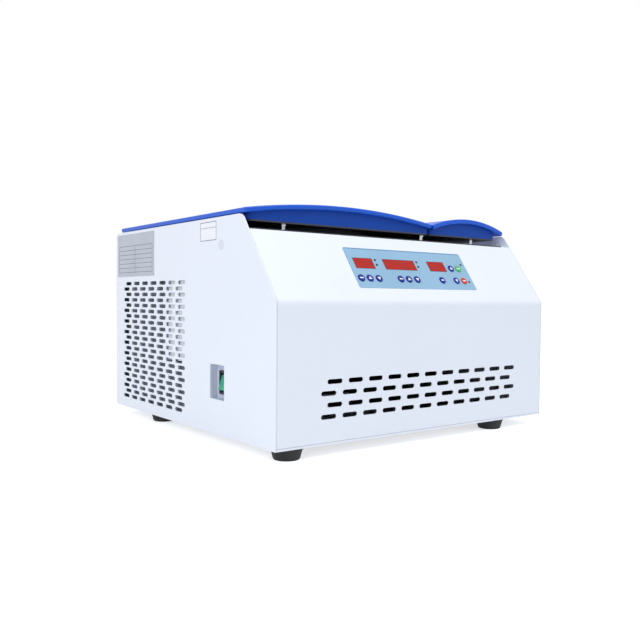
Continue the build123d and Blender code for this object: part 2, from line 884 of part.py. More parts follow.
for name, x, way in (("left_lock_bolt", hook_x[0], 1), ("right_lock_bolt", hook_x[1], -1)):
    with BuildPart() as bolt:
        with BuildSketch(Plane.YZ.offset(x + way * (blade_t / 2 + bolt_gap))):
            with Locations((hook_y, eye_z)):
                Circle(bolt_d / 2)
        extrude(amount=way * (bolt_l + lock_w / 2))
        chamfer(bolt.edges().filter_by(GeomType.CIRCLE), screw_slot_w / 2)
        with BuildSketch(Plane.YZ.offset(x + way * (lock_w / 2 + bolt_travel + seam))):
            with Locations((hook_y, eye_z)):
                Circle(bolt_d)
        extrude(amount=way * blade_t)
    save(bolt.part, name)

# The side cover's posts
with BuildPart() as cover_posts:
    with BuildSketch(Plane.XY.offset(deck_z)):
        with Locations((post_x, hook_y), (post_x, -hook_y), (lid_right + blade_w, -hook_y)):
            Circle(hook_d / 2)
    extrude(amount=liner_low - deck_z)
save(cover_posts.part, "cover_posts")

# Hinges: brackets on the deck, pins, and leaves under the lid
with BuildPart() as hinge_brackets:
    ear_x = hinge_leaf_w / 2 + hinge_side_gap + hinge_ear_w / 2
    for x in hinge_x:
        with BuildSketch(Plane.XY.offset(deck_z)):
            with Locations((x, hinge_y)):
                Rectangle(2 * ear_x + hinge_ear_w, 3 * hinge_r)
        extrude(amount=hinge_base_t)
        for side in (-1, 1):
            with BuildSketch(Plane.YZ.offset(x + side * ear_x - hinge_ear_w / 2)):
                with Locations((hinge_y, hinge_z)):
                    Circle(hinge_r)
                with Locations((hinge_y, (hinge_z + deck_z) / 2)):
                    Rectangle(2 * hinge_r, hinge_z - deck_z)
                with Locations((hinge_y, hinge_z)):
                    Circle(hinge_pin_d / 2, mode=Mode.SUBTRACT)
            extrude(amount=hinge_ear_w)
save(hinge_brackets.part, "hinge_brackets")

with BuildPart() as hinge_pins:
    for x in hinge_x:
        with BuildSketch(Plane.YZ.offset(x - ear_x - hinge_ear_w / 2)):
            with Locations((hinge_y, hinge_z)):
                Circle(hinge_pin_d / 2)
        extrude(amount=2 * ear_x + hinge_ear_w)
save(hinge_pins.part, "hinge_pins")

leaf_top = liner_low
with BuildPart() as hinge_leaves:
    for x in hinge_x:
        with BuildSketch(Plane.YZ.offset(x - hinge_leaf_w / 2)):
            with Locations((hinge_y, hinge_z)):
                Circle(hinge_r)
            y, reach = spread(hinge_y - hinge_leaf_reach, hinge_y)
            with Locations((y, leaf_top - hinge_leaf_t / 2)):
                Rectangle(reach, hinge_leaf_t)
            with Locations((hinge_y, hinge_z)):
                Circle(hinge_pin_d / 2 + fit_gap, mode=Mode.SUBTRACT)
        extrude(amount=hinge_leaf_w)
save(hinge_leaves.part, "hinge_leaves")
for piece in (lid_liner, lid_hooks, lock_bodies, hinge_brackets, hinge_leaves):
    print(piece.part.label, piece.part.bounding_box(), len(piece.part.solids()))

# Compressor: a domed can on a foot plate with rubber grommets
comp_spots = [
    (comp_x + i * comp_bolt_pitch / 2, comp_y + j * comp_bolt_pitch / 2) for i in (-1, 1) for j in (-1, 1)
]
comp_low_z = pan_z + grommet_h
with BuildPart() as compressor_grommets:
    with BuildSketch(Plane.XY.offset(pan_z)):
        with Locations(*comp_spots):
            Circle(grommet_d / 2)
    extrude(amount=grommet_h)
save_group("rubber_mounts", motor_mounts.part, compressor_grommets.part)

with BuildPart() as compressor:
    with BuildSketch(Plane.XY.offset(comp_low_z)):
        with Locations((comp_x, comp_y)):
            RectangleRounded(comp_foot_w, comp_foot_w, grommet_d / 2)
    extrude(amount=comp_foot_t)
    with BuildSketch(Plane.XY.offset(comp_low_z + comp_foot_t)):
        with Locations((comp_x, comp_y)):
            Circle(comp_r)
    extrude(amount=comp_h)
    fillet(compressor.edges().group_by(Axis.Z)[-1], comp_r / 2)
    with BuildSketch(Plane.XY.offset(comp_low_z + comp_h / 2)):
        with Locations((comp_x, comp_y)):
            Circle(comp_r + comp_foot_t)
    extrude(amount=2 * comp_foot_t)
save(compressor.part, "compressor")

# Condenser: a finned block between end plates
cond_h = cond_z[1] - cond_z[0]
cond_mid_y = sum(cond_y) / 2
with BuildPart() as condenser_core:
    with BuildSketch(Plane.XZ.offset(-cond_y[0])):
        with Locations((cond_x, fan_z)):
            Rectangle(cond_w, cond_h)
    extrude(amount=-cond_depth)
    with BuildSketch(Plane.YZ.offset(cond_x - cond_w / 2)):
        with Locations((cond_mid_y, fan_z)):
            with GridLocations(cond_depth / 2, cond_h / cond_tube_count, 2, cond_tube_count):
                Circle(cond_tube_d / 2)
    extrude(amount=-cond_tube_d)

with BuildPart() as condenser_feet:
    for x in (cond_x - cond_w / 2 + foot_top_d / 2, cond_x + cond_w / 2 - foot_top_d / 2):
        with BuildSketch(Plane.XY.offset(pan_z)):
            with Locations((x, cond_mid_y)):
                Rectangle(foot_top_d, cond_depth)
        extrude(amount=cond_z[0] - pan_z)
save_group("condenser_core", condenser_core.part, condenser_feet.part)

# Fan shroud, fan motor on its arms, and the fan
shroud_plane = Plane.XZ.offset(-cond_y[1])
shroud_rear_y = cond_y[1] + shroud_d
with BuildPart() as fan_shroud:
    with BuildSketch(shroud_plane):
        with Locations((cond_x, fan_z)):
            Rectangle(cond_w, cond_h)
            Rectangle(cond_w - 2 * shroud_t, cond_h - 2 * shroud_t, mode=Mode.SUBTRACT)
    extrude(amount=-(shroud_d - shroud_t))
    with BuildSketch(Plane.XZ.offset(shroud_t - shroud_rear_y)):
        with Locations((cond_x, fan_z)):
            Rectangle(cond_w, cond_h)
            Circle(fan_r + fan_gap, mode=Mode.SUBTRACT)
    extrude(amount=-shroud_t)
    with BuildSketch(Plane.XZ.offset(-shroud_rear_y)):
        with Locations((cond_x, fan_z)):
            Rectangle(2 * (fan_r + 2 * fan_gap), fan_motor_r / 2)
            Rectangle(fan_motor_r / 2, 2 * (fan_r + 2 * fan_gap))
            Circle(fan_motor_r)
    extrude(amount=-shroud_t)
save(fan_shroud.part, "fan_shroud")

with BuildPart() as fan_motor:
    with BuildSketch(Plane.XZ.offset(-shroud_rear_y)):
        with Locations((cond_x, fan_z)):
            Circle(fan_motor_r)
            Circle(fan_shaft_d / 2 + fit_gap, mode=Mode.SUBTRACT)
    extrude(amount=fan_motor_l / 2)
save(fan_motor.part, "fan_motor")

fan_rear_y = shroud_rear_y - fan_motor_l / 2 - sheet_t
with BuildPart() as fan_impeller:
    with BuildSketch(Plane.XZ.offset(-fan_rear_y)):
        with Locations((cond_x, fan_z)):
            Circle(fan_hub_r)
    extrude(amount=fan_depth)
    fillet(fan_impeller.edges().group_by(Axis.Y)[0], fan_gap)
    with BuildSketch(Plane.XZ.offset(-fan_rear_y)):
        with Locations((cond_x, fan_z)):
            Circle(fan_shaft_d / 2)
    extrude(amount=-(fan_motor_l / 2 + sheet_t))
    for i in range(fan_blades):
        blade_plane = Plane(
            origin=(cond_x, fan_rear_y - fan_depth / 2, fan_z),
            x_dir=(0, -1, 0),
            z_dir=(math.cos(2 * math.pi * i / fan_blades), 0, math.sin(2 * math.pi * i / fan_blades)),
        )
        with BuildSketch(blade_plane.offset(fan_hub_r - fan_gap)):
            Rectangle(fan_depth, sheet_t, rotation=blade_root_tilt)
        with BuildSketch(blade_plane.offset(fan_r - fan_gap)):
            Rectangle(2 * fan_depth, sheet_t, rotation=blade_tip_tilt)
        loft()
save(fan_impeller.part, "fan_impeller")
for piece in (compressor, condenser_core, fan_shroud, fan_impeller):
    print(piece.part.label, piece.part.bounding_box(), len(piece.part.solids()))


def tube(points, radius, bend):
    """A pipe along straight runs joined by tangent arcs."""
    with BuildPart() as pipe:
        with BuildLine() as route:
            FilletPolyline(*points, radius=bend)
        with BuildSketch(route.line ^ 0):
            Circle(radius)
        sweep()
    length = sum(edge.length for edge in route.line.edges())
    print("pipe length", round(length, 1), "volume", round(pipe.part.volume / (math.pi * radius**2 * length), 4))
    return pipe.part


# Refrigerant line: compressor to condenser, condenser to drier, drier to the coil
pipe_r = pipe_d / 2
pipe_bend = 2.5 * pipe_d
port_shift = 2 * pipe_d
comp_top_z = comp_low_z + comp_foot_t + comp_h
cond_left_x = cond_x - cond_w / 2 - cond_tube_d
cond_port_z = [fan_z + i * cond_h / cond_tube_count for i in (-2.5, 2.5)]
port_y = cond_mid_y - cond_depth / 4
drier_x = cond_left_x - 2 * comp_foot_w / 3
run_y = comp_y + 3 * comp_r / 4
discharge_pipe = tube(
    [
        (comp_x + port_shift, comp_y, comp_top_z),
        (comp_x + port_shift, comp_y, comp_top_z + 2 * pipe_bend),
        (comp_x + comp_foot_w, run_y, comp_top_z + 2 * pipe_bend),
        (cond_left_x - 3 * pipe_bend, port_y, cond_port_z[1]),
        (cond_left_x, port_y, cond_port_z[1]),
    ],
    pipe_r,
    pipe_bend,
)
drier_low_z = pan_z + cond_h / 2
drier_y = port_y + 2 * pipe_bend + pipe_r
liquid_pipe = tube(
    [
        (cond_left_x, port_y, cond_port_z[0]),
        (drier_x, port_y, cond_port_z[0]),
        (drier_x, drier_y, cond_port_z[0]),
        (drier_x, drier_y, drier_low_z),
    ],
    pipe_r,
    pipe_bend,
)
with BuildPart() as filter_drier:
    with BuildSketch(Plane(origin=(drier_x, drier_y, 0), x_dir=(1, 0, 0), z_dir=(0, -1, 0))):
        with BuildLine():
            Polyline(
                (0, drier_low_z),
                (pipe_r, drier_low_z),
                (drier_r, drier_low_z + drier_r),
                (drier_r, drier_low_z + drier_l - drier_r),
                (pipe_r, drier_low_z + drier_l),
                (0, drier_low_z + drier_l),
                close=True,
            )
        make_face()
    revolve(axis=Axis((drier_x, drier_y, 0), (0, 0, 1)))


def jacket_face_y(x):
    """Where a pipe along Y, with its side towards the bowl, meets the jacket."""
    return bowl_y + math.sqrt(jacket_out**2 - (abs(x - bowl_x) - pipe_r) ** 2) + seam


line_z = bowl_floor + 2 * bowl_low_r
drier_top_z = drier_low_z + drier_l
feed_pipe = tube(
    [
        (drier_x, drier_y, drier_top_z),
        (drier_x, drier_y, line_z),
        (drier_x, jacket_face_y(drier_x), line_z),
    ],
    pipe_r,
    pipe_bend,
)
suction_x = comp_x - port_shift
suction_pipe = tube(
    [
        (suction_x, comp_y, comp_top_z),
        (suction_x, comp_y, line_z),
        (suction_x, jacket_face_y(suction_x), line_z),
    ],
    pipe_r,
    pipe_bend,
)
save_group("refrigerant_pipes", discharge_pipe, liquid_pipe, filter_drier.part, feed_pipe, suction_pipe)

# Switch pocket let into the left panel, switch frame and rocker
pocket_x = -inner_x + pocket_depth
pocket_mid_y, pocket_len = spread(*pocket_y)
pocket_mid_z, pocket_h = spread(*pocket_z)
switch_mid_y, switch_w = spread(*switch_y)
switch_mid_z, switch_h = spread(*switch_z)
with BuildPart() as switch_pocket:
    with BuildSketch(Plane.YZ.offset(-inner_x)):
        with Locations((pocket_mid_y, pocket_mid_z)):
            Rectangle(pocket_len + 2 * pocket_t, pocket_h + 2 * pocket_t)
            Rectangle(pocket_len, pocket_h, mode=Mode.SUBTRACT)
    extrude(amount=pocket_depth)
    with BuildSketch(Plane.YZ.offset(pocket_x)):
        with Locations((pocket_mid_y, pocket_mid_z)):
            Rectangle(pocket_len + 2 * pocket_t, pocket_h + 2 * pocket_t)
        with Locations((switch_mid_y, switch_mid_z)):
            Rectangle(switch_w - 2 * switch_proud, switch_h - 2 * switch_proud, mode=Mode.SUBTRACT)
    extrude(amount=pocket_t)
save(switch_pocket.part, "switch_pocket")

rocker_w = switch_w - 2 * rocker_wall
rocker_h = switch_h - 2 * rocker_wall
with BuildPart() as switch_housing:
    with BuildSketch(Plane.YZ.offset(pocket_x - switch_proud)):
        with Locations((switch_mid_y, switch_mid_z)):
            RectangleRounded(switch_w, switch_h, switch_proud)
    extrude(amount=switch_proud)
    with BuildSketch(Plane.YZ.offset(pocket_x)):
        with Locations((switch_mid_y, switch_mid_z)):
            Rectangle(switch_w - 2 * switch_proud - seam, switch_h - 2 * switch_proud - seam)
    extrude(amount=switch_depth)
    with BuildSketch(Plane.YZ.offset(pocket_x - switch_proud)):
        with Locations((switch_mid_y, switch_mid_z)):
            Rectangle(rocker_w, rocker_h)
    extrude(amount=switch_depth - rocker_wall, mode=Mode.SUBTRACT)
    with BuildSketch(Plane.XZ.offset(-switch_mid_y)):
        with Locations((pocket_x + rocker_wall, switch_mid_z)):
            Circle(rocker_pin_d / 2 + fit_gap)
    extrude(amount=rocker_w / 2 + rocker_wall / 2, both=True, mode=Mode.SUBTRACT)
save(switch_housing.part, "switch_housing")

# The rocker stands at rest with its upper half pressed in
rocker_x = pocket_x + rocker_wall
rocker_r = rocker_h / 2 - rocker_gap
rocker_deep = rocker_wall + switch_proud
with BuildPart() as power_rocker:
    with BuildSketch(Plane.XZ.offset(rocker_gap - switch_mid_y - rocker_w / 2)):
        tilt = math.tan(math.radians(rocker_tilt))
        with BuildLine():
            Polyline(
                (rocker_x + rocker_deep, switch_mid_z + rocker_r - rocker_corner),
                (rocker_x - rocker_deep + rocker_r * tilt, switch_mid_z + rocker_r - rocker_corner),
                (rocker_x - rocker_deep - rocker_gap, switch_mid_z),
                (rocker_x - rocker_deep - rocker_proud, switch_mid_z - rocker_r + rocker_corner),
                (rocker_x + rocker_deep, switch_mid_z - rocker_r + rocker_corner),
                close=True,
            )
        make_face()
    extrude(amount=rocker_w - 2 * rocker_gap)
    with BuildSketch(Plane.XZ.offset(-switch_mid_y)):
        with Locations((rocker_x, switch_mid_z)):
            Circle(rocker_pin_d / 2)
    extrude(amount=rocker_w / 2 + rocker_gap, both=True)
save(power_rocker.part, "power_rocker")
for piece in (switch_pocket, switch_housing, power_rocker, filter_drier):
    print(piece.part.label, piece.part.bounding_box(), len(piece.part.solids()))

# Power inlet in the rear panel with its three pins
with BuildPart() as power_inlet:
    with BuildSketch(Plane.XZ.offset(-rear_y)):
        with Locations((inlet_x, inlet_z)):
            Rectangle(inlet_w, inlet_h)
    extrude(amount=inlet_depth)
    with BuildSketch(Plane.XZ.offset(-rear_y)):
        with Locations((inlet_x, inlet_z)):
            Rectangle(inlet_cavity_w, inlet_cavity_h)
    extrude(amount=inlet_cavity_depth, mode=Mode.SUBTRACT)
    with BuildSketch(Plane.XZ.offset(inlet_cavity_depth - rear_y)):
        with Locations(
            (inlet_x, inlet_z + inlet_blade[1]),
            (inlet_x - 3 * inlet_blade[0] - seam, inlet_z - inlet_blade[1] + seam),
            (inlet_x + 3 * inlet_blade[0] + seam, inlet_z - inlet_blade[1] + seam),
        ):
            Rectangle(inlet_blade[0], inlet_blade[1])
    extrude(amount=-inlet_blade[2])
save(power_inlet.part, "power_inlet")

# Keypad overlay on the slope
over_x, over_w = spread(*overlay_x)
over_s, over_h = spread(*overlay_s)
key_spots = [(x, key_low_s) for x in key_low_x] + [(x, key_high_s) for x in key_high_x]
with BuildPart() as keypad_overlay:
    with BuildSketch(slope_plane):
        with Locations((over_x, over_s)):
            RectangleRounded(over_w, over_h, overlay_r)
        for x0, x1, s0, s1 in window_boxes:
            with Locations(((x0 + x1) / 2, (s0 + s1) / 2)):
                Rectangle(x1 - x0, s1 - s0, mode=Mode.SUBTRACT)
        with Locations(*key_spots):
            Circle(key_d / 2 + key_gap, mode=Mode.SUBTRACT)
        with Locations(*lamp_spots):
            Circle(lamp_d / 2 + lamp_gap, mode=Mode.SUBTRACT)
    extrude(amount=overlay_t)
save(keypad_overlay.part, "keypad_overlay")

with BuildPart() as display_windows:
    with BuildSketch(slope_plane):
        for x0, x1, s0, s1 in window_boxes:
            with Locations(((x0 + x1) / 2, (s0 + s1) / 2)):
                Rectangle(x1 - x0, s1 - s0)
    extrude(amount=overlay_t + window_proud)
save(display_windows.part, "display_windows")

board_front = -sheet_t - board_gap
with BuildPart() as display_modules:
    with BuildSketch(slope_plane):
        for x0, x1, s0, s1 in window_boxes:
            with Locations(((x0 + x1) / 2, (s0 + s1) / 2)):
                Rectangle(x1 - x0, s1 - s0)
    extrude(amount=board_front)
with BuildPart() as indicator_lamps:
    with BuildSketch(slope_plane.offset(board_front)):
        with Locations(*lamp_spots):
            Circle(lamp_d / 2)
    extrude(amount=overlay_t + lamp_proud - board_front)
save_group("display_modules", display_modules.part, indicator_lamps.part)

# Control board on standoffs behind the slope, with a switch behind each key
with BuildPart() as control_board:
    with BuildSketch(slope_plane.offset(board_front)):
        with Locations((over_x, over_s)):
            Rectangle(over_w + 2 * board_margin, over_h + board_margin)
    extrude(amount=-board_t)
with BuildPart() as board_standoffs:
    with BuildSketch(slope_plane.offset(board_front)):
        with Locations((over_x, over_s)):
            with GridLocations(over_w + board_margin, over_h - 2 * board_margin, 2, 2):
                Circle(standoff_d / 2)
    extrude(amount=board_gap)
with BuildPart() as key_switches:
    with BuildSketch(slope_plane.offset(board_front)):
        with Locations(*key_spots):
            Rectangle(key_switch_w, key_switch_w)
    extrude(amount=-key_depth - key_travel - key_stop - board_front)

drive_mid_x, drive_w = spread(*drive_box[:2])
drive_mid_y, drive_d = spread(*drive_box[2:])
with BuildPart() as drive_board:
    with BuildSketch(Plane.XY.offset(drive_z)):
        with Locations((drive_mid_x, drive_mid_y)):
            Rectangle(drive_w, drive_d)
    extrude(amount=board_t)
    with BuildSketch(Plane.XY.offset(drive_z)):
        with Locations((drive_mid_x, drive_mid_y)):
            with GridLocations(drive_w - 2 * board_margin, drive_d - 2 * board_margin, 2, 2):
                Circle(standoff_d / 2)
    extrude(amount=pan_z - drive_z)
    with BuildSketch(Plane.XY.offset(drive_z + board_t)):
        with Locations((drive_mid_x - drive_w / 4, drive_mid_y)):
            Rectangle(drive_w / 3, drive_d / 2)
        with Locations((drive_mid_x + drive_w / 4, drive_mid_y)):
            with GridLocations(drive_w / 5, drive_w / 5, 2, 3):
                Circle(drive_w / 14)
    extrude(amount=drive_w / 4)
save_group(
    "circuit_boards", control_board.part, board_standoffs.part, key_switches.part, drive_board.part
)

for number, spot in enumerate(key_spots, 1):
    with BuildPart() as key:
        with BuildSketch(slope_plane.offset(-key_depth)):
            with Locations(spot):
                Circle(key_d / 2)
        extrude(amount=key_depth + overlay_t + key_proud)
        fillet(key.edges().sort_by(Axis(slope_plane.origin, slope_plane.z_dir))[-1], key_edge_r)
    save(key.part, "key_" + str(number))

# Release plug, rating plate and sticker on the left panel, all bare
with BuildPart() as release_plug:
    with BuildSketch(Plane.YZ.offset(-half_w - plug_proud / 2)):
        with Locations((plug_y, plug_z)):
            Circle(plug_d / 2 - plug_gap)
    extrude(amount=side_t + plug_proud)
    fillet(release_plug.edges().group_by(Axis.X)[0], plug_proud / 2)
save(release_plug.part, "release_plug")

with BuildPart() as label_plates:
    for y0, y1, z0, z1, thick in ((*rating_box, rating_t), (*sticker_box, sticker_t)):
        with BuildSketch(Plane.YZ.offset(-half_w)):
            with Locations(((y0 + y1) / 2, (z0 + z1) / 2)):
                RectangleRounded(y1 - y0, z1 - z0, 2 * seam)
        extrude(amount=-thick)
save(label_plates.part, "label_plates")

# Screws: feet, right panel, rear panel and motor plate share one file
rear_screw_spots = [
    (x, z)
    for x in (deck_flange - panel_x, 0, panel_x - deck_flange)
    for z in (pan_z + pan_flange_h / 2, deck_seat_h - pan_flange_h / 2)
]
with BuildPart() as plate_screws:
    with BuildSketch(Plane.XY.offset(plate_top)):
        with Locations(*corner_spots):
            Circle(screw_head_d / 2)
    extrude(amount=screw_head_h)
    with BuildSketch(Plane.XY.offset(plate_top)):
        with Locations(*corner_spots):
            Circle(screw_d / 2)
    extrude(amount=-plate_t)
with BuildPart() as rear_screws:
    with BuildSketch(Plane.XZ.offset(-rear_y)):
        with Locations(*rear_screw_spots):
            Circle(screw_head_d / 2)
    extrude(amount=-screw_head_h)
save_group("screws", foot_screws.part, plate_screws.part, rear_screws.part)
print("parts", len(os.listdir("parts")))
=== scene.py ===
"""Looks of a refrigerated benchtop centrifuge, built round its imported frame."""

import math

import bpy
import bmesh
from mathutils import Matrix, Vector


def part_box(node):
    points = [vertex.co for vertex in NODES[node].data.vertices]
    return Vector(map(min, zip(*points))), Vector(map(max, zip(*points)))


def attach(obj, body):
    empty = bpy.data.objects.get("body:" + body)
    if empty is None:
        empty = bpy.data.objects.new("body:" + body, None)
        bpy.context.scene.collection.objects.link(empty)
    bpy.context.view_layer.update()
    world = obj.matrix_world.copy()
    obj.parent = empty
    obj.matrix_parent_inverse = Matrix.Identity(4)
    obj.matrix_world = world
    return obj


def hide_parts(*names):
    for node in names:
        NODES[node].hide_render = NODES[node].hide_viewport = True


bl_info = {
    "name": "Benchtop centrifuge looks",
    "version": (1, 0, 0),
    "blender": (4, 5, 0),
    "location": "View3D > Sidebar > Centrifuge",
    "description": "Finishes and fine pieces of a refrigerated benchtop centrifuge",
    "category": "Object",
}

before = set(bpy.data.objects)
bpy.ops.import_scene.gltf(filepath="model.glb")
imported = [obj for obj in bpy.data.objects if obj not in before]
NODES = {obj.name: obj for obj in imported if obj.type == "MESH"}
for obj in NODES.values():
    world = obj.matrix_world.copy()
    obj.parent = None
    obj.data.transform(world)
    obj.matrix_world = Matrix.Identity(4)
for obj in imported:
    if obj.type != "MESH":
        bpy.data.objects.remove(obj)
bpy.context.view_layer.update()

MM = 0.001
SEGMENT_COUNT = 48


def box_mm(node):
    """Lowest and highest corners of a node in millimetres."""
    low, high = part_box(node)
    return Vector(low) / MM, Vector(high) / MM


CAB_LOW, CAB_IN = box_mm("left_side_panel")

# The sloped part of the front, which runs back and up from the knee
SLOPE_UP = Vector((0, 77.4, 110.0)).normalized()
SLOPE_OUT = Vector((0, -SLOPE_UP.z, SLOPE_UP.y))
KNEE = Vector((0, CAB_LOW.y, 235.0))

# Places and sizes that more than one piece uses, in millimetres
PAN_TOP = 21.5
FOOT_TOP_R, FOOT_LOW_R = 25.0, 20.5
FOOT_RECESS_R, FOOT_RECESS_H = 6.5, 6.0
# Across the deck, where the painted shade under the covers ends and the deck's pale coat shows
DECK_SHADE_EDGE_X = 284.5

# Height of each arch at its left and right end, and where its top stands across
LID_ARCH = (378.2, 378.5, -105.0)
COVER_ARCH = (378.0, 376.4, 195.0)

# Outlines of the sheets behind the grilles: front to rear and low to high
FILTER_FACE = ((-18.0, 30.0), (254.0, 30.0), (254.0, 280.0), (-18.0, 280.0))
LINING_FACE = (
    (-18.0, 30.0),
    (286.0, 30.0),
    (286.0, 290.0),
    (64.0, 290.0),
    (64.0, 124.0),
    (-18.0, 124.0),
)


def on_slope(x, s, out=0.0):
    """A place on the sloped face: across, up the slope and out of it, in millimetres."""
    return KNEE + Vector((x, 0, 0)) + SLOPE_UP * s + SLOPE_OUT * out


def linear(code):
    """A linear colour from an sRGB hex value."""
    parts = [int(code[i : i + 2], 16) / 255 for i in (0, 2, 4)]
    curved = [c / 12.92 if c <= 0.04045 else ((c + 0.055) / 1.055) ** 2.4 for c in parts]
    return (*curved, 1.0)


def add_node(tree, kind, values=None, links=None, **settings):
    """Adds a node, sets its attributes and inputs, and links its inputs."""
    made = tree.nodes.new(kind)
    for key, value in settings.items():
        setattr(made, key, value)
    for key, value in (values or {}).items():
        made.inputs[key].default_value = value
    for key, source in (links or {}).items():
        tree.links.new(source, made.inputs[key])
    return made


def ramp(tree, factor, stops):
    """A colour ramp with the given stops."""
    made = add_node(tree, "ShaderNodeValToRGB", links={"Fac": factor})
    elements = made.color_ramp.elements
    while len(elements) < len(stops):
        elements.new(0.5)
    for element, (place, colour) in zip(elements, stops):
        element.position = place
        element.color = colour
    return made.outputs["Color"]


def new_material(name):
    """An empty node material with its output node, and the Object coordinates in it."""
    material = bpy.data.materials.new(name)
    material.use_nodes = True
    tree = material.node_tree
    tree.nodes.clear()
    output = tree.nodes.new("ShaderNodeOutputMaterial")
    place = add_node(tree, "ShaderNodeTexCoord").outputs["Object"]
    return material, tree, output, place


def finish_surface(
    name, colour, rough, grain, bump, metal=0.0, vary=0.06, blotch=60.0, stretch=(1, 1, 1), **fixed
):
    """A surface with slow colour drift, a fine grain and uneven gloss.

    The colour is an sRGB hex value or a linear colour, and grain and blotch are in millimetres.
    """
    material, tree, output, place = new_material(name)
    spread = add_node(
        tree, "ShaderNodeMapping", {"Scale": stretch}, {"Vector": place}
    ).outputs["Vector"]
    drift = add_node(
        tree, "ShaderNodeTexNoise", {"Scale": 1 / (blotch * MM), "Detail": 3.0}, {"Vector": place}
    ).outputs["Fac"]
    fine = add_node(
        tree, "ShaderNodeTexNoise", {"Scale": 1 / (grain * MM), "Detail": 4.0}, {"Vector": spread}
    ).outputs["Fac"]
    base = Vector(linear(colour)[:3] if isinstance(colour, str) else colour)
    dark = tuple(base * (1 - vary)) + (1.0,)
    light = tuple(min(c * (1 + vary), 1.0) for c in base) + (1.0,)
    drifted = ramp(tree, drift, [(0.3, dark), (0.7, light)])
    smooth, dull = rough * 0.85, min(rough * 1.18, 1.0)
    gloss = add_node(
        tree,
        "ShaderNodeMapRange",
        {"From Min": 0.25, "From Max": 0.75, "To Min": smooth, "To Max": dull},
        {"Value": fine},
    ).outputs["Result"]
    relief = add_node(
        tree, "ShaderNodeBump", {"Strength": bump, "Distance": grain * MM * 0.12}, {"Height": fine}
    ).outputs["Normal"]
    shader = add_node(
        tree,
        "ShaderNodeBsdfPrincipled",
        {"Metallic": metal, **fixed},
        {"Base Color": drifted, "Roughness": gloss, "Normal": relief},
    )
    tree.links.new(shader.outputs["BSDF"], output.inputs["Surface"])
    return material


def powder_coat_white(colour):
    # Polyester powder coat: a fine orange peel that softens its reflections
    return finish_surface("powder_coat_white", colour, 0.38, 1.6, 0.18, vary=0.008, blotch=220.0)


def powder_coat_painted_shade():
    # The same coat on the inner faces and small trays, painted a little greyer as shade in the
    # recess
    return finish_surface("powder_coat_painted_shade", "CDD3E2", 0.42, 1.6, 0.18, vary=0.02, blotch=120.0)


def deck_painted_shade():
    # Painted shade: matt black where the gap under the covers is in shadow, laid over the deck's
    # own pale coat, which shows in a margin on the right
    material = finish_surface("deck_painted_shade", "17181C", 0.55, 1.4, 0.25, vary=0.1)
    tree = material.node_tree
    place = next(n for n in tree.nodes if n.bl_idname == "ShaderNodeTexCoord").outputs["Object"]
    shader = next(n for n in tree.nodes if n.bl_idname == "ShaderNodeBsdfPrincipled")
    black = shader.inputs["Base Color"].links[0].from_socket
    across = add_node(tree, "ShaderNodeSeparateXYZ", links={0: place}).outputs["X"]
    # Mask of the painted shade: black left of the edge, the deck's pale coat right of it
    edge = add_node(
        tree, "ShaderNodeMath", {1: DECK_SHADE_EDGE_X * MM}, {0: across}, operation="GREATER_THAN"
    ).outputs["Value"]
    blend = add_node(
        tree, "ShaderNodeMixRGB", {"Color2": linear("DDE2EE")}, {"Fac": edge, "Color1": black}
    ).outputs["Color"]
    tree.links.new(blend, shader.inputs["Base Color"])
    return material


def abs_blue(colour):
    # Moulded and lacquered ABS shell: a clean gloss with a faint ripple
    lacquer = {"Specular IOR Level": 0.28, "Coat Weight": 0.06, "Coat Roughness": 0.15}
    return finish_surface("abs_blue", colour, 0.34, 5.0, 0.05, vary=0.03, blotch=160.0, **lacquer)


def abs_blue_painted_shade(colour):
    # The set-back ABS walls: the same blue as the lip, painted darker as shade under the lip;
    # unlacquered, with a finer satin from the mould
    dull = {"Specular IOR Level": 0.2}
    return finish_surface("abs_blue_painted_shade", colour, 0.46, 1.2, 0.15, vary=0.05, **dull)


def liner_sheet():
    # Dark moulded sheet under the lid
    return finish_surface("liner_sheet", "2A2E3A", 0.4, 1.5, 0.1, vary=0.03)


def moulded_rubber():
    # Black moulded rubber: matt, with a dusty unevenness
    return finish_surface("moulded_rubber", "17181B", 0.72, 0.9, 0.4, vary=0.25, blotch=18.0)


def zinc_plate():
    # Zinc plated sheet: bright grey with a soft bloom
    return finish_surface("zinc_plate", "B4B8BC", 0.34, 2.5, 0.1, 1.0, vary=0.12, blotch=14.0)


def turned_steel():
    # Turned bright steel: fine rings left by the tool, drawn coarse enough to show
    rings = (0.2, 0.2, 4.0)
    return finish_surface("turned_steel", "C9CCD1", 0.22, 0.8, 0.3, 1.0, vary=0.05, stretch=rings)


def spun_stainless():
    # Spun and brushed stainless pot: rings round its axis
    rings = (0.1, 0.1, 3.0)
    return finish_surface("spun_stainless", "B9BDC2", 0.3, 1.2, 0.25, 1.0, vary=0.04, stretch=rings)


def drawn_copper():
    # Drawn copper tube, dulled to brown in places
    return finish_surface("drawn_copper", "B5714A", 0.33, 3.0, 0.08, 1.0, vary=0.2, blotch=22.0)


def rigid_foam():
    # Rigid polyurethane foam: pale, open and rough
    return finish_surface("rigid_foam", "DEE2E4", 0.85, 2.2, 0.6, vary=0.05)


def lining_grey():
    # Grey felt lining behind the grille
    return finish_surface("lining_grey", "8C9099", 0.9, 1.2, 0.3, vary=0.12, blotch=14.0)


def cast_grey():
    # Dark grey paint on the motor's casting and the compressor's can, over a rough skin
    return finish_surface("cast_grey", "3C4149", 0.5, 2.0, 0.5, 0.1, vary=0.12)


def black_enamel():
    # Stoved black enamel of the fan motor's can
    return finish_surface("black_enamel", "121317", 0.3, 6.0, 0.08, vary=0.2)


def fin_aluminium():
    # Thin bare aluminium fins, slightly dull
    return finish_surface("fin_aluminium", "A7ABB0", 0.45, 1.0, 0.2, 1.0, vary=0.1)


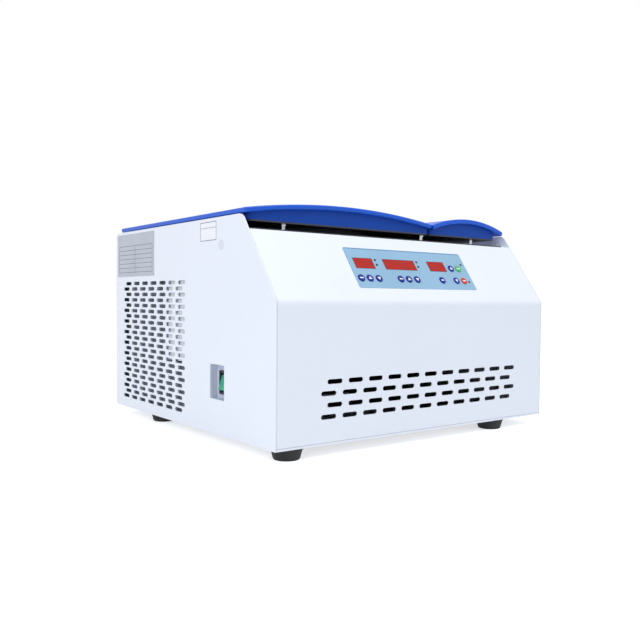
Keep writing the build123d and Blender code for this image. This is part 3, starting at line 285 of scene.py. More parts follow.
def anodised_dark():
    # Hard anodised aluminium: dark grey, satin, fine blasted grain
    return finish_surface("anodised_dark", "5A5F66", 0.38, 0.7, 0.25, 0.85, vary=0.06)


def moulded_black():
    # Black moulded plastic with a spark-eroded texture
    return finish_surface("moulded_black", "15161A", 0.5, 0.8, 0.35, vary=0.12)


def bare_silver():
    # Satin silver foil of a blank plate
    brush = (1, 0.15, 3)
    return finish_surface("bare_silver", "B6BCC8", 0.33, 1.0, 0.12, 0.75, vary=0.05, stretch=brush)


def grey_plug():
    # Light grey moulded plug
    return finish_surface("grey_plug", "DADFEA", 0.45, 1.0, 0.15, vary=0.05)


def paper_white():
    # White coated paper
    return finish_surface("paper_white", "EEF0F6", 0.5, 0.6, 0.05, vary=0.02)


def ink_dark():
    # Dark printed ink, thin and slightly uneven
    return finish_surface("ink_dark", "2C313D", 0.5, 0.6, 0.05, vary=0.15, blotch=5.0)


def film_blue(colour):
    # Printed polyester film: satin, a slow shade from edge to edge
    return finish_surface("film_blue", colour, 0.36, 0.5, 0.08, vary=0.05, blotch=90.0)


def film_painted_shadow():
    # Painted shadow: a darker band where the panel's cut edge shades the film
    return finish_surface("film_painted_shadow", "5C86B4", 0.36, 0.5, 0.08, vary=0.05)


def window_red():
    # Red filter film over the displays, lit from behind
    lit = {
        "Specular IOR Level": 0.15,
        "Emission Color": linear("D0240C"),
        "Emission Strength": 0.15,
    }
    return finish_surface("window_red", "A8160A", 0.35, 2.0, 0.03, vary=0.08, blotch=14.0, **lit)


def segment_dark():
    # Display segments, darker than the lit ground
    return finish_surface("segment_dark", "5A0D08", 0.4, 1.0, 0.03, vary=0.1)


def lamp_dark():
    # Small indicator lamps, dark while they are off
    return finish_surface("lamp_dark", "16171C", 0.25, 1.0, 0.03, vary=0.1)


def solder_green():
    # Circuit board with a green solder mask
    return finish_surface("solder_green", "1F5A38", 0.4, 1.5, 0.2, vary=0.15, blotch=9.0)


def key_colour(name, code):
    """Moulded key: satin with a fine grain."""
    dull = {"Specular IOR Level": 0.2}
    return finish_surface(name, code, 0.42, 0.6, 0.12, vary=0.05, blotch=8.0, **dull)


def rocker_green(colour):
    # Moulded polycarbonate: glossy, and some light passes into it
    glow = {
        "Transmission Weight": 0.15,
        "Subsurface Weight": 0.15,
        "Subsurface Radius": (0.004, 0.004, 0.004),
    }
    return finish_surface("rocker_green", colour, 0.25, 2.0, 0.05, vary=0.08, blotch=9.0, **glow)


# Mesh helpers


def link_piece(name, mesh, body, material_slot, *materials):
    """A finished piece at the origin, riding on a body."""
    piece = bpy.data.objects.new(name, mesh)
    bpy.context.scene.collection.objects.link(piece)
    for material in materials:
        mesh.materials.append(material)
    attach(piece, body)
    return piece


def mesh_from(bm, name, smooth=True):
    """Turns a bmesh in millimetres into a mesh in metres with outward faces."""
    bmesh.ops.remove_doubles(bm, verts=bm.verts, dist=0.0005)
    bmesh.ops.recalc_face_normals(bm, faces=bm.faces)
    bm.transform(Matrix.Scale(MM, 4))
    mesh = bpy.data.meshes.new(name)
    bm.to_mesh(mesh)
    bm.free()
    if smooth:
        mesh.shade_smooth()
        mesh.set_sharp_from_angle(angle=math.radians(35))
    return mesh


def add_prism(bm, outline, step, material=0):
    """Fills an outline given as points, and pulls it along step."""
    low = [bm.verts.new(p) for p in outline]
    high = [bm.verts.new(p + step) for p in outline]
    faces = [bm.faces.new(low), bm.faces.new(list(reversed(high)))]
    for i in range(len(outline)):
        j = (i + 1) % len(outline)
        faces.append(bm.faces.new((low[i], high[i], high[j], low[j])))
    for face in faces:
        face.material_index = material


def circle(a, b, radius, count=16):
    """Points of a circle round a centre, as pairs."""
    turns = [2 * math.pi * i / count for i in range(count)]
    return [(a + radius * math.cos(t), b + radius * math.sin(t)) for t in turns]


def add_lathe(bm, profile, centre, segments=SEGMENT_COUNT):
    """Turns a profile of radius and height, in millimetres, round a vertical axis."""
    rings = []
    for radius, height in profile:
        places = [Vector((*p, height)) for p in circle(0.0, 0.0, radius, segments)]
        rings.append([bm.verts.new(centre + p) for p in places])
    for lower, upper in zip(rings, rings[1:]):
        for i in range(segments):
            j = (i + 1) % segments
            bm.faces.new((lower[i], lower[j], upper[j], upper[i]))


def rounded_loop(low, high, radius, steps=6):
    """Corners of a rounded rectangle in the XY plane, anticlockwise."""
    points = []
    corners = (
        (high.x - radius, high.y - radius, 0),
        (low.x + radius, high.y - radius, 90),
        (low.x + radius, low.y + radius, 180),
        (high.x - radius, low.y + radius, 270),
    )
    for x, y, start in corners:
        for i in range(steps + 1):
            angle = math.radians(start + 90 * i / steps)
            turned = Vector((math.cos(angle), math.sin(angle), 0))
            points.append(Vector((x, y, 0)) + turned * radius)
    return points


def along_arch(loop, step):
    """The same closed loop with points added on its long sides, to follow an arch."""
    points = []
    for a, b in zip(loop, loop[1:] + loop[:1]):
        count = max(1, 2 * round(abs(b.x - a.x) / step / 2))
        points += [a.lerp(b, i / count) for i in range(count)]
    return points


def bevelled(piece, width, segments=3, angle=30):
    """Rounds a piece's edges by a live Bevel modifier, in millimetres."""
    bevel = piece.modifiers.new("rounded_edges", "BEVEL")
    bevel.width = width * MM
    bevel.segments = segments
    bevel.limit_method = "ANGLE"
    bevel.angle_limit = math.radians(angle)
    bevel.harden_normals = True


# Lid and side cover


def arch_height(low, high, ends):
    """Height over X of an arch through its two ends and its top, in millimetres."""
    left_z, right_z, mid = ends
    ax, az, bx, bz, cx, cz = low.x, left_z, mid, high.z, high.x, right_z
    d = 2 * (ax * (bz - cz) + bx * (cz - az) + cx * (az - bz))
    a2, b2, c2 = ax**2 + az**2, bx**2 + bz**2, cx**2 + cz**2
    ux = (a2 * (bz - cz) + b2 * (cz - az) + c2 * (az - bz)) / d
    uz = (a2 * (cx - bx) + b2 * (ax - cx) + c2 * (bx - ax)) / d
    radius = math.hypot(ax - ux, az - uz)
    return lambda x, inset=0.0: uz + math.sqrt((radius - inset) ** 2 - (x - ux) ** 2)


def arched_cover(name, node, ends, body, materials, wall_sides, lip, inset, wall):
    """A moulded cover: an arched lip plate with rounded edges over set-back walls."""
    low, high = box_mm(node)
    height = arch_height(low, high, ends)
    steps = 56
    xs = [low.x + (high.x - low.x) * i / steps for i in range(steps + 1)]
    tuck = lip * 0.25
    bm = bmesh.new()
    stations = []
    for x in xs:
        foot_x = min(max(x, low.x + tuck), high.x - tuck)
        loop = (
            (x, low.y, height(x)),
            (x, high.y, height(x)),
            (foot_x, high.y, height(x) - lip),
            (foot_x, low.y, height(x) - lip),
        )
        stations.append([bm.verts.new(p) for p in loop])
    for a, b in zip(stations, stations[1:]):
        for i in range(4):
            j = (i + 1) % 4
            bm.faces.new((a[i], a[j], b[j], b[i]))
    for end in (stations[0], stations[-1]):
        bm.faces.new(end)
    lip_mesh = mesh_from(bm, name)
    lip_piece = link_piece(name, lip_mesh, body, "lid_blue", materials[0])
    bevelled(lip_piece, lip * 0.36, 4, 40)
    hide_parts(node)

    left, right = wall_sides
    loop_low = Vector((left, low.y + inset, 0))
    loop_high = Vector((right, high.y - inset, 0))
    outer = rounded_loop(loop_low, loop_high, inset)
    inner = rounded_loop(
        loop_low + Vector((wall, wall, 0)), loop_high - Vector((wall, wall, 0)), inset - wall
    )
    bm = bmesh.new()
    outer, inner = (along_arch(loop, (high.x - low.x) / steps) for loop in (outer, inner))
    rings = []
    for loop, top in ((outer, False), (outer, True), (inner, True), (inner, False)):
        ring = []
        for p in loop:
            z = height(p.x) - lip * 0.7 if top else low.z
            ring.append(bm.verts.new((p.x, p.y, z)))
        rings.append(ring)
    for a, b in zip(rings, rings[1:] + rings[:1]):
        for i in range(len(a)):
            j = (i + 1) % len(a)
            bm.faces.new((a[i], a[j], b[j], b[i]))
    wall_mesh = mesh_from(bm, name + "_walls")
    wall_piece = link_piece(name + "_walls", wall_mesh, body, "lid_blue", materials[1])
    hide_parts(node)
    return lip_piece, wall_piece


# Sizes and colours that a user would change


class CoverSizes(bpy.types.PropertyGroup):
    """Sizes of the two arched covers."""

    lip: bpy.props.FloatProperty(
        name="Lip", description="Thickness of the arched lip", default=8.5 * MM, unit="LENGTH"
    )
    inset: bpy.props.FloatProperty(
        name="Inset", description="Set-back of the walls", default=8.0 * MM, unit="LENGTH"
    )
    wall: bpy.props.FloatProperty(
        name="Wall", description="Thickness of the walls", default=4.0 * MM, unit="LENGTH"
    )


def colour_property(name, description, code):
    """A colour that a user can change, with an sRGB hex value as its default."""
    return bpy.props.FloatVectorProperty(
        name=name, description=description, default=linear(code)[:3], subtype="COLOR", min=0, max=1
    )


class FinishColours(bpy.types.PropertyGroup):
    """Colours of the large coloured pieces."""

    coat: colour_property("Coat", "Powder coat of the cabinet", "E7ECF6")
    shell: colour_property("Covers", "Arched lips of the lid and the side cover", "0B57CC")
    # A darker copy of the covers' blue: painted shade on the walls under the lips
    walls: colour_property("Cover walls", "Set-back walls under the lips", "0A46A8")
    film: colour_property("Film", "Ground of the keypad film", "8AB3D0")
    rocker: colour_property("Rocker", "Mains rocker", "2BAE88")


class MarkSizes(bpy.types.PropertyGroup):
    """Sizes of printed marks and display segments."""

    ink: bpy.props.FloatProperty(
        name="Ink", description="How far printed marks stand out", default=0.06 * MM, unit="LENGTH"
    )
    digit_height: bpy.props.FloatProperty(
        name="Digit", description="Height of a display digit", default=12.6 * MM, unit="LENGTH"
    )
    arrow: bpy.props.FloatProperty(
        name="Arrow", description="Width of the arrow on a key", default=7.4 * MM, unit="LENGTH"
    )


class FastenerSizes(bpy.types.PropertyGroup):
    """Sizes of the visible screw heads and of the condenser's fins."""

    head: bpy.props.FloatProperty(
        name="Head", description="Diameter of a screw head", default=8.0 * MM, unit="LENGTH"
    )
    proud: bpy.props.FloatProperty(
        name="Proud", description="Height of a screw head", default=1.8 * MM, unit="LENGTH"
    )
    fin_pitch: bpy.props.FloatProperty(
        name="Fins", description="Distance between condenser fins", default=3.2 * MM, unit="LENGTH"
    )


class StageSettings(bpy.types.PropertyGroup):
    """Camera and light of the stage."""

    lens: bpy.props.FloatProperty(
        name="Lens", description="Focal length in mm on a 36 mm sensor", default=41.03
    )
    key_power: bpy.props.FloatProperty(
        name="Key light", description="Power of the main lamp", default=50.0, unit="POWER"
    )
    fill_power: bpy.props.FloatProperty(
        name="Fill light", description="Power of the side lamp", default=26.0, unit="POWER"
    )
    sky: bpy.props.FloatProperty(
        name="Sky", description="Strength of the world's light", default=0.6
    )


def paint(node, material):
    """Gives a CAD node its finish."""
    slots = NODES[node].data.materials
    if not slots:
        slots.append(material)
    for i in range(len(slots)):
        slots[i] = material


class CENTRIFUGE_OT_cabinet(bpy.types.Operator):
    """Finishes the cabinet, the deck and everything that stays as the frame has it."""

    bl_idname = "centrifuge.cabinet"
    bl_label = "Cabinet"

    def execute(self, context):
        colours = context.scene.centrifuge_colours
        finishes = {
            powder_coat_white(colours.coat): (
                "base_pan",
                "left_side_panel",
                "right_side_panel",
                "front_panel",
                "rear_panel",
            ),
            powder_coat_painted_shade(): ("switch_pocket",),
            deck_painted_shade(): ("top_deck",),
            liner_sheet(): ("lid_liner", "side_cover_plate"),
            moulded_rubber(): ("chamber_gaskets", "lid_seal", "rubber_mounts"),
            zinc_plate(): (
                "motor_plate",
                "hinge_brackets",
                "hinge_leaves",
                "lock_bodies",
                "bearings",
                "fan_shroud",
            ),
            turned_steel(): (
                "lid_hooks",
                "cover_posts",
                "hinge_pins",
                "left_lock_bolt",
                "right_lock_bolt",
                "drive_spindle",
                "temperature_probe",
            ),
            spun_stainless(): ("chamber_bowl",),
            drawn_copper(): ("evaporator_coil", "refrigerant_pipes"),
            rigid_foam(): ("insulation_jacket",),
            cast_grey(): ("compressor", "motor_housing"),
            black_enamel(): ("fan_motor",),
            anodised_dark(): ("rotor", "rotor_nut"),
            moulded_black(): (
                "fan_impeller",
                "switch_housing",
                "power_inlet",
                "display_modules",
            ),
            solder_green(): ("circuit_boards",),
            film_blue(colours.film): ("keypad_overlay",),
            window_red(): ("display_windows",),
            grey_plug(): ("release_plug",),
        }
        for material, nodes in finishes.items():
            for node in nodes:
                paint(node, material)
        return {"FINISHED"}


class CENTRIFUGE_OT_covers(bpy.types.Operator):
    """Builds the arched lid and the arched side cover."""

    bl_idname = "centrifuge.covers"
    bl_label = "Lid and side cover"

    def execute(self, context):
        sizes = context.scene.centrifuge_covers
        colours = context.scene.centrifuge_colours
        finish = abs_blue(colours.shell), abs_blue_painted_shade(colours.walls)
        lip, inset, wall = sizes.lip / MM, sizes.inset / MM, sizes.wall / MM
        for name, node, plate, body, ends in (
            ("lid_cover", "lid_shell", "lid_liner", "lid", LID_ARCH),
            ("fixed_cover", "side_cover", "side_cover_plate", "cabinet", COVER_ARCH),
        ):
            low, high = box_mm(plate)
            arched_cover(name, node, ends, body, finish, (low.x, high.x), lip, inset, wall)
        return {"FINISHED"}


def back_sheet(name, x, thick, face, material_slot, material):
    """An upright sheet inside the cabinet that faces sideways."""
    bm = bmesh.new()
    add_prism(bm, [Vector((x, y, z)) for y, z in face], Vector((thick, 0, 0)))
    return link_piece(name, mesh_from(bm, name, False), "cabinet", material_slot, material)


class CENTRIFUGE_OT_filter(bpy.types.Operator):
    """Puts a dark foam filter behind the right grille and a grey lining behind the left one."""

    bl_idname = "centrifuge.filter"
    bl_label = "Filter and lining"

    def execute(self, context):
        filter_x = box_mm("right_side_panel")[0].x - 4.0
        lining_x = CAB_IN.x + 9.0
        back_sheet("air_filter", filter_x, 3.5, FILTER_FACE, "black_rubber", moulded_black())
        back_sheet("grille_lining", lining_x, 2.0, LINING_FACE, "foam", lining_grey())
        return {"FINISHED"}


class CENTRIFUGE_OT_posts(bpy.types.Operator):
    """Puts the turned rings on the left lid post."""

    bl_idname = "centrifuge.posts"
    bl_label = "Post rings"

    def execute(self, context):
        low, high = box_mm("left_lock_bolt")
        post = Vector((low.x - 2.5, (low.y + high.y) / 2, 0))
        post_r, ring_r = 3.45, 4.4
        bm = bmesh.new()
        for z in (348.5, 351.3, 354.1):
            profile = ((post_r, z), (ring_r, z + 0.3), (ring_r, z + 1.1), (post_r, z + 1.4))
            add_lathe(bm, profile, post, 32)
        link_piece("post_rings", mesh_from(bm, "post_rings"), "lid", "bright_steel", turned_steel())
        return {"FINISHED"}


class CENTRIFUGE_OT_feet(bpy.types.Operator):
    """Builds the four moulded rubber feet with their screw recess."""

    bl_idname = "centrifuge.feet"
    bl_label = "Feet"

    def execute(self, context):
        low, high = box_mm("feet")
        top_r, low_r, bore_r = FOOT_TOP_R, FOOT_LOW_R, 3.0
        tall = high.z - low.z
        profile = (
            (bore_r, tall),
            (top_r - 0.8, tall),
            (top_r, tall - 0.8),
            (top_r - 0.3, tall - 3.0),
            (top_r - 1.1, tall - 3.6),
            (low_r + 0.5, 3.0),
            (low_r, 1.6),
            (low_r - 1.6, 0.0),
            (FOOT_RECESS_R + 0.4, 0.0),
            (FOOT_RECESS_R, 0.4),
            (FOOT_RECESS_R, FOOT_RECESS_H),
            (bore_r, FOOT_RECESS_H),
            (bore_r, tall),
        )
        bm = bmesh.new()
        for x in (low.x + top_r, high.x - top_r):
            for y in (low.y + top_r, high.y - top_r):
                add_lathe(bm, profile, Vector((x, y, low.z)))
        mesh = mesh_from(bm, "rubber_feet")
        feet = link_piece("rubber_feet", mesh, "cabinet", "black_rubber", moulded_rubber())
        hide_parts("feet")
        return {"FINISHED"}


# Printed marks, display digits and keys

DIGIT_BARS = {
    "0": "abcdef",
    "1": "bc",
    "2": "abged",
    "3": "abgcd",
    "4": "fgbc",
    "5": "afgcd",
    "6": "afgedc",
    "7": "abc",
    "8": "abcdefg",
    "9": "abcdfg",
}
DIGIT_WIDE, DIGIT_BAR, DIGIT_LEAN = 0.52, 0.13, 0.12

# Places on the slope, across and up it, in millimetres
WINDOWS = (
    ((-129.0, 66.2), (-87.0, 87.7), "030"),
    ((-64.0, 66.0), (9.0, 87.5), "04000"),
    ((41.0, 65.8), (83.4, 87.3), "020"),
)
LAMPS = (
    (-80.4, 84.8),
    (-80.9, 74.8),
    (16.0, 84.4),
    (15.3, 74.3),
    (129.6, 83.4),
    (128.2, 44.3),
)
LOWER_KEYS = (
    (-128.1, "dash"),
    (-109.7, "up"),
    (-90.1, "down"),
    (-40.7, "dash"),
    (-22.0, "up"),
    (-2.6, "down"),
    (59.5, "dash"),
    (95.8, "down"),
    (115.5, "dash"),
)
UPPER_KEYS = ((97.5, "up"), (116.1, "dash"))
LOWER_S, UPPER_S = 46.5, 73.5
FILM_LOW, FILM_HIGH = (-140.0, 27.5), (139.0, 108.5)

# How far the film, the windows, the lamps and the keys stand out of the slope
FILM_OUT, WINDOW_OUT, LAMP_OUT, KEY_OUT = 0.6, 0.8, 1.2, 1.9


def add_flat(bm, outline, out, thick):
    """A thin mark on the slope, from points across and up it, in millimetres."""
    add_prism(bm, [on_slope(x, s, out) for x, s in outline], SLOPE_OUT * thick)


def digit_outlines(char, x, s, tall):
    """Outlines of the bars of one slanted seven-bar digit."""
    wide, bar, half = tall * DIGIT_WIDE, tall * DIGIT_BAR, tall / 2
    places = {
        "a": (0, tall, wide, 0),
        "g": (0, half, wide, 0),
        "d": (0, 0, wide, 0),
        "f": (0, half, 0, half),
        "b": (wide, half, 0, half),
        "e": (0, 0, 0, half),
        "c": (wide, 0, 0, half),
    }
    for key in DIGIT_BARS[char]:
        x0, s0, dx, ds = places[key]
        gap = bar * 0.6
        if dx:
            shape = [
                (x0 + gap, s0),
                (x0 + gap + bar / 2, s0 - bar / 2),
                (x0 + dx - gap - bar / 2, s0 - bar / 2),
                (x0 + dx - gap, s0),
                (x0 + dx - gap - bar / 2, s0 + bar / 2),
                (x0 + gap + bar / 2, s0 + bar / 2),
            ]
        else:
            shape = [
                (x0, s0 + gap),
                (x0 + bar / 2, s0 + gap + bar / 2),
                (x0 + bar / 2, s0 + ds - gap - bar / 2),
                (x0, s0 + ds - gap),
                (x0 - bar / 2, s0 + ds - gap - bar / 2),
                (x0 - bar / 2, s0 + gap + bar / 2),
            ]
        yield [(x + px + ps * DIGIT_LEAN, s + ps) for px, ps in shape]


def mark_outline(kind, x, s, size):
    """Outline of the plain mark on a key."""
    half = size / 2
    if kind == "up":
        return [(x - half, s - half * 0.6), (x + half, s - half * 0.6), (x, s + half)]
    if kind == "down":
        return [(x, s - half), (x + half, s + half * 0.6), (x - half, s + half * 0.6)]
    bar = half * 0.32
    return [(x - half, s - bar), (x + half, s - bar), (x + half, s + bar), (x - half, s + bar)]


class CENTRIFUGE_OT_displays(bpy.types.Operator):
    """Puts plain digits and thin dark borders on the three display windows."""

    bl_idname = "centrifuge.displays"
    bl_label = "Displays"

    def execute(self, context):
        sizes = context.scene.centrifuge_marks
        ink, tall = sizes.ink / MM, sizes.digit_height / MM
        digits, borders = bmesh.new(), bmesh.new()
        rim, margin = 0.9, 1.5
        for (x0, s0), (x1, s1), text in WINDOWS:
            step = (x1 - x0 - 2 * margin) / len(text)
            for i, char in enumerate(text):
                spare = (step - tall * DIGIT_WIDE) / 2 - tall * DIGIT_LEAN / 2
                x = x0 + margin + step * i + spare
                for outline in digit_outlines(char, x, (s0 + s1 - tall) / 2, tall):
                    add_flat(digits, outline, WINDOW_OUT, ink)
            for left, low, right, high in (
                (x0, s0, x1, s0 + rim),
                (x0, s1 - rim, x1, s1),
                (x0, s0 + rim, x0 + rim, s1 - rim),
                (x1 - rim, s0 + rim, x1, s1 - rim),
            ):
                bar = [(left, low), (right, low), (right, high), (left, high)]
                add_flat(borders, bar, WINDOW_OUT, ink)
        mesh = mesh_from(digits, "display_digits", False)
        link_piece("display_digits", mesh, "cabinet", "display_red", segment_dark())
        mesh = mesh_from(borders, "window_borders", False)
        link_piece("window_borders", mesh, "cabinet", "module_black", ink_dark())
        return {"FINISHED"}


class CENTRIFUGE_OT_keys(bpy.types.Operator):
    """Colours the eleven keys and prints a plain mark on each."""

    bl_idname = "centrifuge.keys"
    bl_label = "Keys"

    def execute(self, context):
        sizes = context.scene.centrifuge_marks
        ink, size = sizes.ink / MM, sizes.arrow / MM
        navy = key_colour("key_navy", "14248E")
        red, green = key_colour("key_red", "CE3B25"), key_colour("key_green", "3FB650")
        mark = paper_white()
        places = [(x, LOWER_S, kind) for x, kind in LOWER_KEYS]
        places += [(x, UPPER_S, kind) for x, kind in UPPER_KEYS]
        odd_ones = {9: (red, "key_red"), 11: (green, "key_green")}
        for number, (x, s, kind) in enumerate(places, 1):
            colour, key_slot = odd_ones.get(number, (navy, "key_navy"))
            paint(f"key_{number}", colour)
            name = f"key_{number}_mark"
            bm = bmesh.new()
            add_flat(bm, mark_outline(kind, x, s, size), KEY_OUT, ink)
            link_piece(name, mesh_from(bm, name, False), f"key{number}", key_slot, mark)
        return {"FINISHED"}


class CENTRIFUGE_OT_film(bpy.types.Operator):
    """Lays a painted shadow along the top and left edge of the keypad film, where the panel's edge
    shades it, and puts the tips of its lamps.
    """

    bl_idname = "centrifuge.film"
    bl_label = "Keypad film"

    def execute(self, context):
        ink = context.scene.centrifuge_marks.ink / MM
        (x0, s0), (x1, s1) = FILM_LOW, FILM_HIGH
        edge, rim, top, corner, lamp_r = 0.3, 0.6, 2.2, 3.0, 1.95
        # Painted shadow of the panel's edge: a wide band along the top and a thin one down the left
        top_shadow = [
            (x0 + corner, s1 - top),
            (x1 - corner, s1 - top),
            (x1 - corner / 3, s1 - top),
            (x1 - corner, s1 - edge),
            (x0 + corner, s1 - edge),
            (x0 + corner / 3, s1 - top),
        ]
        left_shadow = [
            (x0 + edge, s0 + corner),
            (x0 + rim, s0 + corner),
            (x0 + rim, s1 - corner),
            (x0 + edge, s1 - corner),
        ]
        borders, lamps = bmesh.new(), bmesh.new()
        for band in (top_shadow, left_shadow):
            add_flat(borders, band, FILM_OUT, ink)
        for x, s in LAMPS:
            add_flat(lamps, circle(x, s, lamp_r), LAMP_OUT, ink)
        mesh = mesh_from(borders, "film_edge_shadow", False)
        link_piece("film_edge_shadow", mesh, "cabinet", "overlay_blue", film_painted_shadow())
        mesh = mesh_from(lamps, "lamp_tips", False)
        link_piece("lamp_tips", mesh, "cabinet", "module_black", lamp_dark())
        return {"FINISHED"}


# Labels, screws and fins


def side_box(bm, y0, y1, z0, z1, x_out, x_in, material=0):
    """A thin plate on the left panel between two depths."""
    corners = ((y0, z0), (y1, z0), (y1, z1), (y0, z1))
    outline = [Vector((x_out, y, z)) for y, z in corners]
    add_prism(bm, outline, Vector((x_in - x_out, 0, 0)), material)


class CENTRIFUGE_OT_labels(bpy.types.Operator):
    """Builds the bare rating plate and the bare sticker, with ruled lines only."""

    bl_idname = "centrifuge.labels"
    bl_label = "Labels"

    def execute(self, context):
        ink = context.scene.centrifuge_marks.ink / MM
        face = CAB_LOW.x
        plate, sticker = (113.0, 287.0, 280.0, 364.0), (-123.0, -68.0, 332.0, 364.5)
        plate_face, sticker_face = face - 0.5, face - 0.2
        bm = bmesh.new()
        side_box(bm, *plate, plate_face + ink, face)
        side_box(bm, *sticker, sticker_face, face, 1)
        y0, y1, z0, z1 = plate
        rows, margin, line = 7, 8.0, 0.7
        top_row = z1 - 24.0
        for i in range(rows):
            z = top_row - i * (top_row - z0 - margin) / (rows - 1)
            side_box(bm, y0 + margin, y1 - margin, z, z + line, plate_face, plate_face + ink, 2)
        for y in (y0 + margin, (y0 + y1) / 2 - line / 2, y1 - margin - line):
            side_box(bm, y, y + line, z0 + margin, top_row + line, plate_face, plate_face + ink, 2)
        edge, line = 1.0, 0.9
        y0, y1, z0, z1 = sticker
        y0, y1, z0, z1 = y0 + edge, y1 - edge, z0 + edge, z1 - edge
        for box in (
            (y0, y1, z0, z0 + line),
            (y0, y1, z1 - line, z1),
            (y0, y0 + line, z0, z1),
            (y1 - line, y1, z0, z1),
            (y0, y1, z1 - 10.0, z1 - 9.4),
        ):
            side_box(bm, *box, sticker_face - ink, sticker_face, 2)
        mesh = mesh_from(bm, "blank_labels", False)
        finish = bare_silver(), paper_white(), ink_dark()
        labels = link_piece("blank_labels", mesh, "cabinet", "plate_silver", *finish)
        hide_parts("label_plates")
        return {"FINISHED"}


class CENTRIFUGE_OT_rocker(bpy.types.Operator):
    """Colours the mains rocker."""

    bl_idname = "centrifuge.rocker"
    bl_label = "Mains rocker"

    def execute(self, context):
        paint("power_rocker", rocker_green(context.scene.centrifuge_colours.rocker))
        return {"FINISHED"}


def group_socket(tree, name, kind, default):
    """A named input of a geometry tree, which is returned by its identifier."""
    made = tree.interface.new_socket(name=name, in_out="INPUT", socket_type=kind)
    made.default_value = default
    return made.identifier


def start_tree(name):
    """An empty geometry tree with its input and output nodes."""
    tree = bpy.data.node_groups.new(name, "GeometryNodeTree")
    tree.interface.new_socket(name="Geometry", in_out="INPUT", socket_type="NodeSocketGeometry")
    tree.interface.new_socket(name="Geometry", in_out="OUTPUT", socket_type="NodeSocketGeometry")
    return tree, add_node(tree, "NodeGroupInput"), add_node(tree, "NodeGroupOutput")


def end_tree(tree, output, instances, material):
    """Realizes the instances and gives them their material."""
    real = add_node(
        tree, "GeometryNodeRealizeInstances", links={"Geometry": instances}
    ).outputs["Geometry"]
    painted = add_node(
        tree, "GeometryNodeSetMaterial", {"Material": material}, {"Geometry": real}
    ).outputs["Geometry"]
    tree.links.new(painted, output.inputs["Geometry"])


def bake_tree(name, carrier_mesh, tree, inputs, body):
    """Runs a geometry tree on a carrier mesh, and keeps only the plain mesh."""
    carrier = bpy.data.objects.new(name, carrier_mesh)
    bpy.context.scene.collection.objects.link(carrier)
    modifier = carrier.modifiers.new("build", "NODES")
    modifier.node_group = tree
    for identifier, value in inputs.items():
        modifier[identifier] = value
    depsgraph = bpy.context.evaluated_depsgraph_get()
    mesh = bpy.data.meshes.new_from_object(carrier.evaluated_get(depsgraph))
    carrier.modifiers.remove(modifier)
    carrier.data = mesh
    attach(carrier, body)
    return carrier


def add_screw_head(bm, radius, proud, place):
    """Adds one button head with a hexagon socket, standing along +Z before place turns it."""
    count, sixth = 24, math.pi / 3
    rings = (
        (radius, 0.0, False),
        (radius, 0.4 * proud, False),
        (radius * 0.86, 0.84 * proud, False),
        (radius * 0.58, proud, False),
        (radius * 0.48, proud, True),
        (radius * 0.46, 0.3 * proud, True),
    )
    loops = []
    for reach, height, six in rings:
        loop = []
        for i in range(count):
            angle = 2 * math.pi * i / count
            flat = math.cos(sixth / 2) / math.cos(angle % sixth - sixth / 2) if six else 1.0
            out = reach * flat
            point = Vector((out * math.cos(angle), out * math.sin(angle), height))
            loop.append(bm.verts.new(place @ point))
        loops.append(loop)
    for lower, upper in zip(loops, loops[1:]):
        for i in range(count):
            j = (i + 1) % count
            bm.faces.new((lower[i], lower[j], upper[j], upper[i]))
    bm.faces.new(loops[-1])
    bm.faces.new(loops[0][::-1])


class CENTRIFUGE_OT_screws(bpy.types.Operator):
    """Builds the screw heads of the rear panel, the feet and the motor plate."""

    bl_idname = "centrifuge.screws"
    bl_label = "Screws"

    def execute(self, context):
        sizes = context.scene.centrifuge_fasteners
        radius, proud = sizes.head / MM / 2, sizes.proud / MM
        low, high = box_mm("rear_panel")
        plate_low, plate_high = box_mm("motor_plate")
        feet_low, feet_high = box_mm("feet")
        rear_x, rear_z, plate_inset = 16.0, 9.0, 20.0
        sites = []
        for x in (low.x + rear_x, 0.0, high.x - rear_x):
            for z in (PAN_TOP + rear_z, high.z - rear_z):
                sites.append(((x, high.y, z), (0, 1, 0)))
        for x in (plate_low.x + plate_inset, plate_high.x - plate_inset):
            for y in (plate_low.y + plate_inset, plate_high.y - plate_inset):
                sites.append(((x, y, plate_high.z), (0, 0, 1)))
        for x in (feet_low.x + FOOT_TOP_R, feet_high.x - FOOT_TOP_R):
            for y in (feet_low.y + FOOT_TOP_R, feet_high.y - FOOT_TOP_R):
                sites.append(((x, y, FOOT_RECESS_H), (0, 0, -1)))
        bm = bmesh.new()
        for place, way in sites:
            turn = Vector((0, 0, 1)).rotation_difference(Vector(way)).to_matrix().to_4x4()
            add_screw_head(bm, radius, proud, Matrix.Translation(place) @ turn)
        mesh = mesh_from(bm, "panel_screws")
        screws = link_piece("panel_screws", mesh, "cabinet", "zinc_steel", zinc_plate())
        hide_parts("screws")
        return {"FINISHED"}


